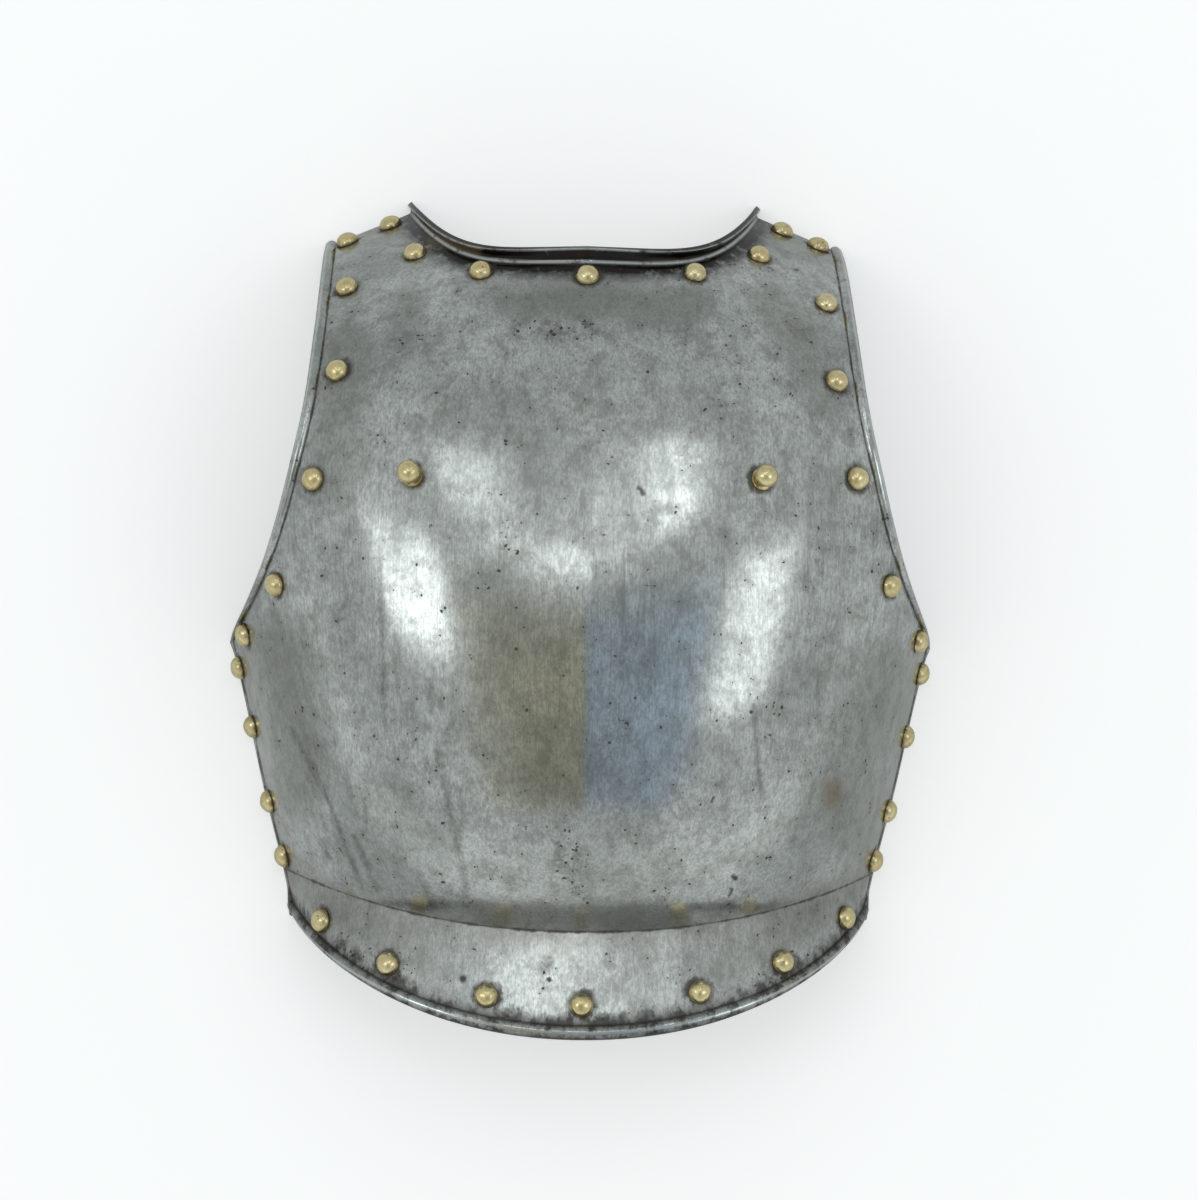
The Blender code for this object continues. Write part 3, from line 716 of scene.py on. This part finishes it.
def maths(tree, operation, first, second=0.0, clamp=False):
    """The result of a Math node."""
    made = node(tree, "Math", {0: first, 1: second}, operation=operation, use_clamp=clamp)
    return made.outputs[0]


def vector_maths(tree, operation, first, second):
    """Both outputs of a Vector Math node: its result is Vector or Value."""
    return node(tree, "VectorMath", {0: first, 1: second}, operation=operation).outputs


def scaled(tree, vector, amount):
    """A vector times a number."""
    return node(tree, "VectorMath", {0: vector, "Scale": amount}, operation="SCALE").outputs[0]


def blend(tree, factor, first, second):
    """Mixes two colours, which are the sockets 6 and 7 of a Mix node."""
    inputs = {0: factor, 6: first, 7: second}
    return node(tree, "Mix", inputs, data_type="RGBA").outputs[2]


def threshold(tree, value, low, high):
    """0 at low, 1 at high, smooth between."""
    inputs = {"Value": value, "From Min": low, "From Max": high}
    return node(tree, "MapRange", inputs, interpolation_type="SMOOTHSTEP").outputs["Result"]


def between(tree, value, low, high, soft):
    """1 between two limits, 0 beyond them."""
    up = threshold(tree, value, low - soft, low + soft)
    down = threshold(tree, value, high + soft, high - soft)
    return maths(tree, "MULTIPLY", up, down)


def new_group(name, inputs, outputs):
    """A shader node group with its sockets: the tree, its input node and its output node."""
    tree = bpy.data.node_groups.new(name, "ShaderNodeTree")
    for socket, kind in inputs:
        tree.interface.new_socket(socket, in_out="INPUT", socket_type="NodeSocket" + kind)
    for socket in outputs:
        tree.interface.new_socket(socket, in_out="OUTPUT", socket_type="NodeSocketFloat")
    return tree, tree.nodes.new("NodeGroupInput").outputs, tree.nodes.new("NodeGroupOutput").inputs


def noise_value(tree, vector, scale, detail, roughness=0.55):
    """Noise between 0 and 1."""
    inputs = {"Vector": vector, "Scale": scale, "Detail": detail, "Roughness": roughness}
    return node(tree, "TexNoise", inputs).outputs[0]


def brushing_group():
    """Fine lines of a polishing brush that runs up and down the piece."""
    tree, given, result = new_group("brushing", [("Vector", "Vector"), ("Scale", "Float")], ["Lines"])
    lines = []
    for stretch, turn in ((0.03, 0.06), (0.06, -0.14)):
        inputs = {"Vector": given["Vector"], "Scale": (1.0, stretch, 1.0), "Rotation": (0.0, 0.0, turn)}
        mapped = node(tree, "Mapping", inputs).outputs[0]
        lines.append(noise_value(tree, mapped, given["Scale"], 2.0, 0.65))
    tree.links.new(maths(tree, "MULTIPLY", maths(tree, "ADD", *lines), 0.5), result["Lines"])
    return tree


def pitting_group():
    """Small ragged pits, in some of the cells only."""
    inputs = [("Vector", "Vector"), ("Scale", "Float"), ("Size", "Float"), ("Share", "Float")]
    tree, given, result = new_group("pitting", inputs, ["Pits"])
    cells = node(tree, "TexVoronoi", {"Vector": given["Vector"], "Scale": given["Scale"]})
    chance = node(tree, "SeparateColor", {0: cells.outputs["Color"]}).outputs
    size = maths(tree, "MULTIPLY", given["Size"], maths(tree, "POWER", chance[1], 2.0))
    near = maths(tree, "LESS_THAN", cells.outputs["Distance"], size)
    kept = maths(tree, "LESS_THAN", chance[0], given["Share"])
    tree.links.new(maths(tree, "MULTIPLY", near, kept), result["Pits"])
    return tree


def patina_group():
    """Dulled metal in three sizes: wide clouds, blotches and a fine grain."""
    outputs = ["Clouds", "Blotches", "Grain"]
    tree, given, result = new_group("patina", [("Vector", "Vector"), ("Scale", "Float")], outputs)
    place = given["Vector"]
    finer = maths(tree, "MULTIPLY", given["Scale"], 6.0)
    finest = maths(tree, "MULTIPLY", given["Scale"], 50.0)
    brushed = node(tree, "Mapping", {"Vector": place, "Scale": (1.0, 0.4, 1.0)}).outputs[0]
    clouds = noise_value(tree, place, given["Scale"], 3.0, 0.6)
    blotches = noise_value(tree, place, finer, 4.0, 0.75)
    grain = noise_value(tree, brushed, finest, 2.0, 0.85)
    tree.links.new(threshold(tree, clouds, 0.32, 0.68), result["Clouds"])
    tree.links.new(threshold(tree, blotches, 0.42, 0.68), result["Blotches"])
    tree.links.new(threshold(tree, grain, 0.40, 0.64), result["Grain"])
    return tree


def grime_and_shade_group():
    """Dirt, and in some materials painted shade, near something: full at distance 0, gone at Reach."""
    inputs = [("Distance", "Float"), ("Reach", "Float"), ("Uneven", "Float")]
    tree, given, result = new_group("grime_and_shade", inputs, ["Grime"])
    share = maths(tree, "DIVIDE", given["Distance"], given["Reach"])
    near = maths(tree, "SUBTRACT", 1.0, share, clamp=True)
    bare = threshold(tree, given["Uneven"], 0.3, 0.65)
    held = maths(tree, "SUBTRACT", maths(tree, "MULTIPLY", near, 1.7), bare, clamp=True)
    tree.links.new(held, result["Grime"])
    return tree


def spot_group():
    """A round mark: full near its middle, gone at Radius."""
    inputs = [("Vector", "Vector"), ("Middle", "Vector"), ("Radius", "Float")]
    tree, given, result = new_group("spot", inputs, ["Mark"])
    away = vector_maths(tree, "DISTANCE", given["Vector"], given["Middle"])["Value"]
    inner = maths(tree, "MULTIPLY", given["Radius"], 0.4)
    ends = {"Value": away, "From Min": given["Radius"], "From Max": inner}
    tree.links.new(node(tree, "MapRange", ends).outputs[0], result["Mark"])
    return tree


def streak_group():
    """A long mark from one place to another: full on its line, gone at Radius."""
    inputs = [("Vector", "Vector"), ("Start", "Vector"), ("Way", "Vector"), ("Radius", "Float")]
    tree, given, result = new_group("streak", inputs, ["Mark"])
    way = given["Way"]
    off = vector_maths(tree, "SUBTRACT", given["Vector"], given["Start"])["Vector"]
    reached = vector_maths(tree, "DOT_PRODUCT", off, way)["Value"]
    whole = vector_maths(tree, "DOT_PRODUCT", way, way)["Value"]
    share = maths(tree, "DIVIDE", reached, whole, clamp=True)
    away = vector_maths(tree, "DISTANCE", off, scaled(tree, way, share))["Value"]
    fade = node(tree, "MapRange", {"Value": away, "From Min": given["Radius"], "From Max": 0.0})
    tree.links.new(fade.outputs[0], result["Mark"])
    return tree


GROUPS = {
    "brushing": brushing_group(),
    "pitting": pitting_group(),
    "patina": patina_group(),
    "grime_and_shade": grime_and_shade_group(),
    "spot": spot_group(),
    "streak": streak_group(),
}


def effect(tree, name, **inputs):
    """Places a shared effect in a material."""
    made = tree.nodes.new("ShaderNodeGroup")
    made.node_tree = GROUPS[name]
    feed(tree, made, inputs)
    return made.outputs


def measured(tree, attribute):
    """A value that was written on the mesh."""
    return node(tree, "Attribute", attribute_name=attribute).outputs["Fac"]


def dirt_and_shade_near(tree, attribute, reach, uneven):
    """Dirt, and in some places painted shade, by something that the mesh has its distance from."""
    distance = measured(tree, attribute)
    return effect(tree, "grime_and_shade", Distance=distance, Reach=reach, Uneven=uneven)["Grime"]


def ragged(tree, place, scale, amount):
    """Coordinates shaken by noise, so that marks get ragged edges."""
    shake = node(tree, "TexNoise", {"Vector": place, "Scale": scale, "Detail": 1.0}).outputs["Color"]
    centred = vector_maths(tree, "SUBTRACT", shake, (0.5, 0.5, 0.5))["Vector"]
    return vector_maths(tree, "ADD", place, scaled(tree, centred, amount))["Vector"]


def marked(tree, place, marks):
    """How far a place, seen from above, lies in any of some small marks."""
    flat = vector_maths(tree, "MULTIPLY", place, (1.0, 1.0, 0.0))["Vector"]
    found = 0.0
    for mark in marks:
        start = Vector((*mark.start, 0.0))
        way = Vector((*mark.end, 0.0)) - start
        if way.length > 0:
            one = effect(tree, "streak", Vector=flat, Start=start, Way=way, Radius=mark.radius)["Mark"]
        else:
            one = effect(tree, "spot", Vector=flat, Middle=start, Radius=mark.radius)["Mark"]
        found = maths(tree, "MAXIMUM", found, one)
    return found


def broken(tree, mask, uneven):
    """A mask with a ragged, patchy edge."""
    raised = maths(tree, "ADD", maths(tree, "MULTIPLY", mask, 1.8), uneven)
    return maths(tree, "MULTIPLY", mask, threshold(tree, raised, 0.55, 1.5))


def stain_or_painted_light(tree, colour, mask, strength, shade):
    """Lays a colour over another where a mask is: stains and dirt, and in some places painted shade, a
    painted reflection or painted highlights.
    """
    return blend(tree, maths(tree, "MULTIPLY", mask, strength, clamp=True), colour, (*shade, 1.0))


def total(tree, start, *parts):
    """A start value plus some masks, each times its weight."""
    result = start
    for mask, weight in parts:
        result = maths(tree, "ADD", result, maths(tree, "MULTIPLY", mask, weight))
    return result


def largest(tree, first, *others):
    """The largest of some values."""
    for other in others:
        first = maths(tree, "MAXIMUM", first, other)
    return first


def metal(name):
    """A new metal: its material, tree, shader and object coordinates."""
    material = bpy.data.materials.new(name)
    material.use_nodes = True
    tree = material.node_tree
    return material, tree, tree.nodes["Principled BSDF"], node(tree, "TexCoord").outputs["Object"]


def set_finish(tree, shader, colour, roughness, metallic):
    """Feeds a shader with what varies over the surface."""
    tree.links.new(colour, shader.inputs["Base Color"])
    tree.links.new(roughness, shader.inputs["Roughness"])
    tree.links.new(metallic, shader.inputs["Metallic"])


def set_relief(tree, shader, height, distance):
    """Feeds a shader with relief that is too fine to model."""
    bump = node(tree, "Bump", {"Height": height, "Distance": distance, "Strength": 1.0})
    tree.links.new(bump.outputs[0], shader.inputs["Normal"])


def steel_material():
    """Polished steel, dulled, pitted and dirty, with dark scale inside; also painted shade on the neck
    flange, a painted reflection by the waist crease and painted highlight lines.
    """
    material, tree, shader, place = metal("polished_steel_aged")
    outside = maths(tree, "SUBTRACT", 1.0, measured(tree, "inside"), clamp=True)
    shaken = ragged(tree, place, 420.0, 0.0022)

    # Brush lines, patina and marks
    lines = effect(tree, "brushing", Vector=place, Scale=1300.0)["Lines"]
    bold_lines = effect(tree, "brushing", Vector=place, Scale=260.0)["Lines"]
    patina = effect(tree, "patina", Vector=place, Scale=15.0)
    drawn = node(tree, "Mapping", {"Vector": place, "Scale": (1.0, 0.6, 1.0)}).outputs[0]
    uneven = noise_value(tree, drawn, 130.0, 4.0, 0.72)
    dull = broken(tree, measured(tree, "dull"), uneven)
    clusters = broken(tree, measured(tree, "pitted"), uneven)
    rust = broken(tree, measured(tree, "rusty"), uneven)
    streaks = marked(tree, shaken, STREAKS)
    streaks = maths(tree, "MULTIPLY", streaks, threshold(tree, uneven, 0.25, 0.55))
    worst = threshold(tree, patina["Blotches"], 0.45, 0.75)
    crowd = total(tree, 0.0, (worst, 0.45), (clusters, 0.45))
    scattered = effect(tree, "pitting", Vector=shaken, Scale=520.0, Size=0.5, Share=crowd)["Pits"]
    pits = largest(tree, scattered, marked(tree, shaken, PITS))
    pits = maths(tree, "MULTIPLY", pits, outside)
    sooty = maths(tree, "MULTIPLY", clusters, patina["Blotches"])

    # Dirt by rivets and edges; a painted reflection by the waist crease and painted shade with dirt on
    # the neck flange; the rubbed crests of the beads and painted highlight lines
    around = dirt_and_shade_near(tree, "by_rivet", 0.0045, uneven)
    crease = dirt_and_shade_near(tree, "by_crease", 0.0016, uneven)
    # painted reflection: a wide dim brown band along the waist crease, where the chest turns down
    above = dirt_and_shade_near(tree, "by_crease", 0.022, uneven)
    # painted shade with some dirt: the neck flange and the chest just under it go nearly black
    neck = dirt_and_shade_near(tree, "by_neck", 0.014, maths(tree, "SUBTRACT", uneven, 0.15))
    groove = dirt_and_shade_near(tree, "by_groove", 0.0014, uneven)
    edge = dirt_and_shade_near(tree, "by_edge", 0.0020, uneven)
    bottom = dirt_and_shade_near(tree, "by_bottom", 0.009, uneven)
    roll = dirt_and_shade_near(tree, "by_roll", 0.011, uneven)
    # rubbed bright crests of the beads, and painted highlight lines along the neck flange's lip and on
    # its bend
    off_crest = maths(tree, "DIVIDE", measured(tree, "by_crest"), 0.0013)
    crest = maths(tree, "SUBTRACT", 1.0, off_crest, clamp=True)
    rubbed_and_highlit = maths(tree, "MULTIPLY", crest, outside)
    rubbed_and_highlit = maths(tree, "MULTIPLY", rubbed_and_highlit, threshold(tree, uneven, 0.28, 0.48))
    dirt = largest(tree, around, groove, crease, edge)
    scale = maths(tree, "SUBTRACT", 1.0, outside)

    # Colour, from the metal to what lies on it, with painted shade, a painted reflection and painted
    # highlights laid over it
    colour = blend(tree, patina["Clouds"], (0.79, 0.815, 0.80, 1), (0.50, 0.52, 0.505, 1))
    colour = stain_or_painted_light(tree, colour, threshold(tree, uneven, 0.48, 0.66), 0.38, (0.22, 0.21, 0.19))
    colour = stain_or_painted_light(tree, colour, dull, 0.5, (0.27, 0.265, 0.24))
    colour = stain_or_painted_light(tree, colour, patina["Blotches"], 0.48, (0.25, 0.245, 0.23))
    colour = stain_or_painted_light(tree, colour, patina["Grain"], 0.36, (0.17, 0.19, 0.18))
    colour = stain_or_painted_light(tree, colour, threshold(tree, lines, 0.42, 0.62), 0.30, (0.27, 0.27, 0.26))
    colour = stain_or_painted_light(tree, colour, threshold(tree, bold_lines, 0.53, 0.66), 0.28, (0.22, 0.215, 0.20))
    colour = stain_or_painted_light(tree, colour, streaks, 0.50, (0.12, 0.12, 0.11))
    # painted reflection along the waist crease
    colour = stain_or_painted_light(tree, colour, above, 0.35, (0.19, 0.16, 0.125))
    colour = stain_or_painted_light(tree, colour, sooty, 0.5, (0.10, 0.09, 0.08))
    colour = stain_or_painted_light(tree, colour, roll, 0.85, (0.036, 0.030, 0.026))
    colour = stain_or_painted_light(tree, colour, bottom, 0.9, (0.030, 0.026, 0.022))
    # painted shade, with dirt, over the neck flange
    colour = stain_or_painted_light(tree, colour, neck, 0.97, (0.014, 0.010, 0.008))
    colour = stain_or_painted_light(tree, colour, rust, 0.6, (0.20, 0.13, 0.06))
    colour = stain_or_painted_light(tree, colour, dirt, 0.85, (0.06, 0.05, 0.04))
    colour = stain_or_painted_light(tree, colour, pits, 0.88, (0.035, 0.03, 0.028))
    # rubbed bead crests, and painted highlight lines on the neck flange
    colour = stain_or_painted_light(tree, colour, rubbed_and_highlit, 0.75, (0.74, 0.78, 0.78))
    colour = stain_or_painted_light(tree, colour, scale, 0.75, (0.11, 0.095, 0.085))

    coat = largest(tree, dirt, bottom, roll, pits, rust)
    sheen = [(patina["Clouds"], 0.05), (patina["Blotches"], 0.04), (dull, 0.08), (rubbed_and_highlit, -0.08)]
    roughness = total(tree, 0.15, (coat, 0.25), (scale, 0.2), *sheen)
    metallic = total(tree, 1.0, (coat, -0.5), (neck, -0.1), (scale, -0.35))
    set_finish(tree, shader, colour, roughness, metallic)
    return material


def brass_material():
    """Worn brass, with grime and painted shade at its foot and painted shade over the lower part of its
    head.
    """
    material, tree, shader, place = metal("worn_brass")
    lines = effect(tree, "brushing", Vector=place, Scale=1100.0)["Lines"]
    patina = effect(tree, "patina", Vector=place, Scale=60.0)
    pits = effect(tree, "pitting", Vector=place, Scale=700.0, Size=0.5, Share=0.15)["Pits"]
    uneven = noise_value(tree, place, 300.0, 4.0)
    # dirt and painted shade at the foot of each head
    foot = dirt_and_shade_near(tree, "above_plate", 0.0018, uneven)
    # painted shade: each head darker towards the plate, fading towards its top
    painted_lower_shade = dirt_and_shade_near(tree, "above_plate", 0.0060, uneven)
    colour = blend(tree, patina["Clouds"], (0.95, 0.83, 0.50, 1), (0.84, 0.70, 0.38, 1))
    colour = stain_or_painted_light(tree, colour, patina["Blotches"], 0.35, (0.50, 0.38, 0.18))
    colour = stain_or_painted_light(tree, colour, threshold(tree, lines, 0.45, 0.65), 0.2, (0.45, 0.36, 0.18))
    # painted shade over the lower part of the head
    colour = stain_or_painted_light(tree, colour, painted_lower_shade, 0.5, (0.34, 0.24, 0.10))
    # dirt and painted shade at the foot
    colour = stain_or_painted_light(tree, colour, foot, 0.85, (0.09, 0.065, 0.03))
    colour = stain_or_painted_light(tree, colour, pits, 0.6, (0.14, 0.10, 0.05))
    roughness = total(tree, 0.22, (patina["Blotches"], 0.12), (foot, 0.3))
    metallic = total(tree, 1.0, (foot, -0.5))
    height = total(tree, 0.0, (lines, 0.3), (pits, -1.0))
    set_finish(tree, shader, colour, roughness, metallic)
    set_relief(tree, shader, height, 0.00005)
    return material


def edge_lines(outer):
    """Lines of the outer face that dirt, painted shade, a painted reflection and painted highlights
    follow, as grids of points.
    """
    chest_start = BEAD_LINES + FLANGE_ROWS - 1
    root = len(outer) - FLARE_ROWS - LIP_ROWS - 1
    middle = outer.shape[1] // 2
    neck = slice(middle - INNER_COLUMNS, middle + INNER_COLUMNS + 1)
    bead = BEAD_LINES - 1
    crest = bead // 2
    below = slice(0, root + 1)
    sides = outer[below, crest], outer[below, -1 - crest]
    return {
        "by_crease": outer[chest_start],
        "by_neck": outer[root : -LIP_ROWS - 1, neck],
        "by_groove": np.concatenate([outer[bead], outer[below, bead], outer[below, -1 - bead]]),
        "by_crest": np.concatenate([outer[crest], *sides, outer[-1, neck], outer[root + 2, neck]]),
        "by_edge": np.concatenate([outer[0], outer[below, 0], outer[below, -1], outer[root]]),
        "by_roll": outer[bead],
        "by_bottom": outer[0],
    }


def write_distance(bm, name, points, start=0.0):
    """Writes how far each vertex lies from the nearest of some points."""
    points = np.asarray(points).reshape(-1, 3)
    tree = KDTree(len(points))
    for index, point in enumerate(points):
        tree.insert(point, index)
    tree.balance()
    layer = bm.verts.layers.float.new(name)
    for vertex in bm.verts:
        vertex[layer] = max(tree.find(vertex.co)[2] - start, 0.0)


def nearest_on(mark, place):
    """The point of a mark's middle line that lies nearest to a place."""
    start = Vector(mark.start)
    way = Vector(mark.end) - start
    reached = (place - start).dot(way) / max(way.length_squared, TOLERANCE**2)
    return start + way * min(max(reached, 0.0), 1.0)


def write_marks(bm, name, marks):
    """Writes how far each vertex of the outer skin lies in some broad marks."""
    layer = bm.verts.layers.float.new(name)
    inside = bm.verts.layers.float["inside"]
    for vertex in bm.verts:
        if vertex[inside]:
            continue
        for mark in marks:
            away = (vertex.co.xy - nearest_on(mark, vertex.co.xy)).length
            depth = MARK_FILL * (1.0 - away / mark.radius)
            vertex[layer] = max(vertex[layer], min(depth, 1.0))


def set_camera():
    """A long lens that looks down at the chest."""
    data = bpy.data.cameras.new("camera")
    data.sensor_fit = "HORIZONTAL"
    data.sensor_width = 36.0
    data.lens = CAMERA_LENS
    lean = Matrix.Rotation(CAMERA_SIDE, 4, "Y") @ Matrix.Rotation(CAMERA_LEAN, 4, "X")
    camera = bpy.data.objects.new("camera", data)
    camera.matrix_world = (
        Matrix.Translation(CAMERA_TARGET)
        @ lean
        @ Matrix.Rotation(CAMERA_ROLL, 4, "Z")
        @ Matrix.Translation((0.0, 0.0, CAMERA_DISTANCE))
    )
    bpy.context.scene.collection.objects.link(camera)
    bpy.context.scene.camera = camera


def hang_panel(name, aside, ahead, strength):
    """A soft panel over the plate. Its sides are slopes, seen from the plate."""
    data = bpy.data.lights.new(name, "AREA")
    data.shape = "RECTANGLE"
    data.size = (aside[1] - aside[0]) * PANEL_HEIGHT
    data.size_y = (ahead[1] - ahead[0]) * PANEL_HEIGHT
    data.energy = strength * math.pi * data.size * data.size_y
    data.color = PANEL_COLOUR
    light = bpy.data.objects.new(name, data)
    middle = Vector((sum(aside) / 2, sum(ahead) / 2, 1.0))
    light.location = CAMERA_TARGET + middle * PANEL_HEIGHT
    light.visible_camera = False
    bpy.context.scene.collection.objects.link(light)


def studio_world():
    """Pale room with a dim patch overhead, warm on its left side and blue on its right."""
    world = bpy.data.worlds.new("studio")
    world.use_nodes = True
    bpy.context.scene.world = world
    tree = world.node_tree
    split = node(tree, "SeparateXYZ", {0: node(tree, "TexCoord").outputs["Generated"]}).outputs
    up = maths(tree, "MAXIMUM", split["Z"], 0.05)
    aside = maths(tree, "DIVIDE", split["X"], up)
    ahead = maths(tree, "DIVIDE", split["Y"], up)
    low = threshold(tree, ahead, -1.9, -1.2)
    high = threshold(tree, ahead, 0.6, 2.0)
    colour = blend(tree, low, (0.70, 0.735, 0.725, 1), (0.54, 0.57, 0.565, 1))
    colour = blend(tree, high, colour, (0.47, 0.50, 0.50, 1))
    across = between(tree, aside, -0.42, 0.42, 0.04)
    dark = maths(tree, "MULTIPLY", across, between(tree, ahead, -0.80, 0.10, 0.05))
    far_left = threshold(tree, aside, -0.42, -0.12)
    far_right = threshold(tree, aside, 0.16, 0.40)
    left = blend(tree, far_left, (0.55, 0.55, 0.47, 1), (0.37, 0.36, 0.27, 1))
    right = blend(tree, far_right, (0.31, 0.36, 0.42, 1), (0.44, 0.54, 0.67, 1))
    tint = blend(tree, threshold(tree, aside, -0.05, 0.05), left, right)
    colour = blend(tree, dark, colour, tint)
    seen = node(tree, "LightPath").outputs["Is Camera Ray"]
    colour = blend(tree, seen, colour, (0.86, 0.88, 0.88, 1))
    tree.links.new(colour, tree.nodes["Background"].inputs["Color"])


def floor_material():
    """White paper, which the camera sees a little brighter than the steel does."""
    material = bpy.data.materials.new("floor_paper")
    material.use_nodes = True
    tree = material.node_tree
    shader = tree.nodes["Principled BSDF"]
    shader.inputs["Base Color"].default_value = (0.86, 0.86, 0.86, 1)
    shader.inputs["Roughness"].default_value = 0.9
    shader.inputs["Specular IOR Level"].default_value = 0.1
    shader.inputs["Emission Color"].default_value = (1.0, 1.0, 1.0, 1)
    seen = node(tree, "LightPath").outputs["Is Camera Ray"]
    tree.links.new(maths(tree, "MULTIPLY", seen, FLOOR_LIFT), shader.inputs["Emission Strength"])
    return material


def lay_floor():
    """The pale floor that the plate lies on."""
    bm = bmesh.new()
    bmesh.ops.create_grid(bm, x_segments=1, y_segments=1, size=FLOOR_SIZE / 2)
    mesh = bpy.data.meshes.new("floor")
    bm.to_mesh(mesh)
    bm.free()
    mesh.materials.append(floor_material())
    floor = bpy.data.objects.new("floor", mesh)
    bpy.context.scene.collection.objects.link(floor)
    floor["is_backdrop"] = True


steel = steel_material()
brass = brass_material()

forged, outer_face = forge_plate()
plate_tree = BVHTree.FromBMesh(forged)
seats = []
for number, name in enumerate(sorted(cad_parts)):
    if name == "breastplate":
        continue
    seat, wall = seat_of(name, plate_tree)
    points = stud_points(wall) if name.startswith("strap_stud") else rivet_points(wall)
    turned = turn_brass(points, seat, number)
    finish_piece("brass_" + name, turned, [name], brass)
    seats.append(seat.translation)
write_distance(forged, "by_rivet", seats, HEAD_RADIUS)
for name, line in edge_lines(outer_face).items():
    write_distance(forged, name, line)
for name, marks in (("dull", DULL), ("pitted", CLUSTERS), ("rusty", RUST)):
    write_marks(forged, name, marks)
finish_piece("forged_plate", forged, ["breastplate"], steel)

set_camera()
studio_world()
lay_floor()
hang_panel("left_panel", (-1.10, -0.47), (-0.10, 0.22), 1.6)
hang_panel("right_panel", (0.52, 1.10), (-0.28, 0.18), 1.05)
hang_panel("upper_left_panel", (-0.38, -0.16), (0.36, 0.58), 1.2)
hang_panel("upper_right_panel", (0.185, 0.245), (0.32, 0.70), 2.9)
hang_panel("middle_panel", (-0.22, 0.12), (0.20, 0.29), 1.15)
bpy.context.scene.view_settings.view_transform = "Standard"

sizes = {"cad": CAD_BOX, "visual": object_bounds()}
{name: [list(map(float, corner)) for corner in box] for name, box in sizes.items()}
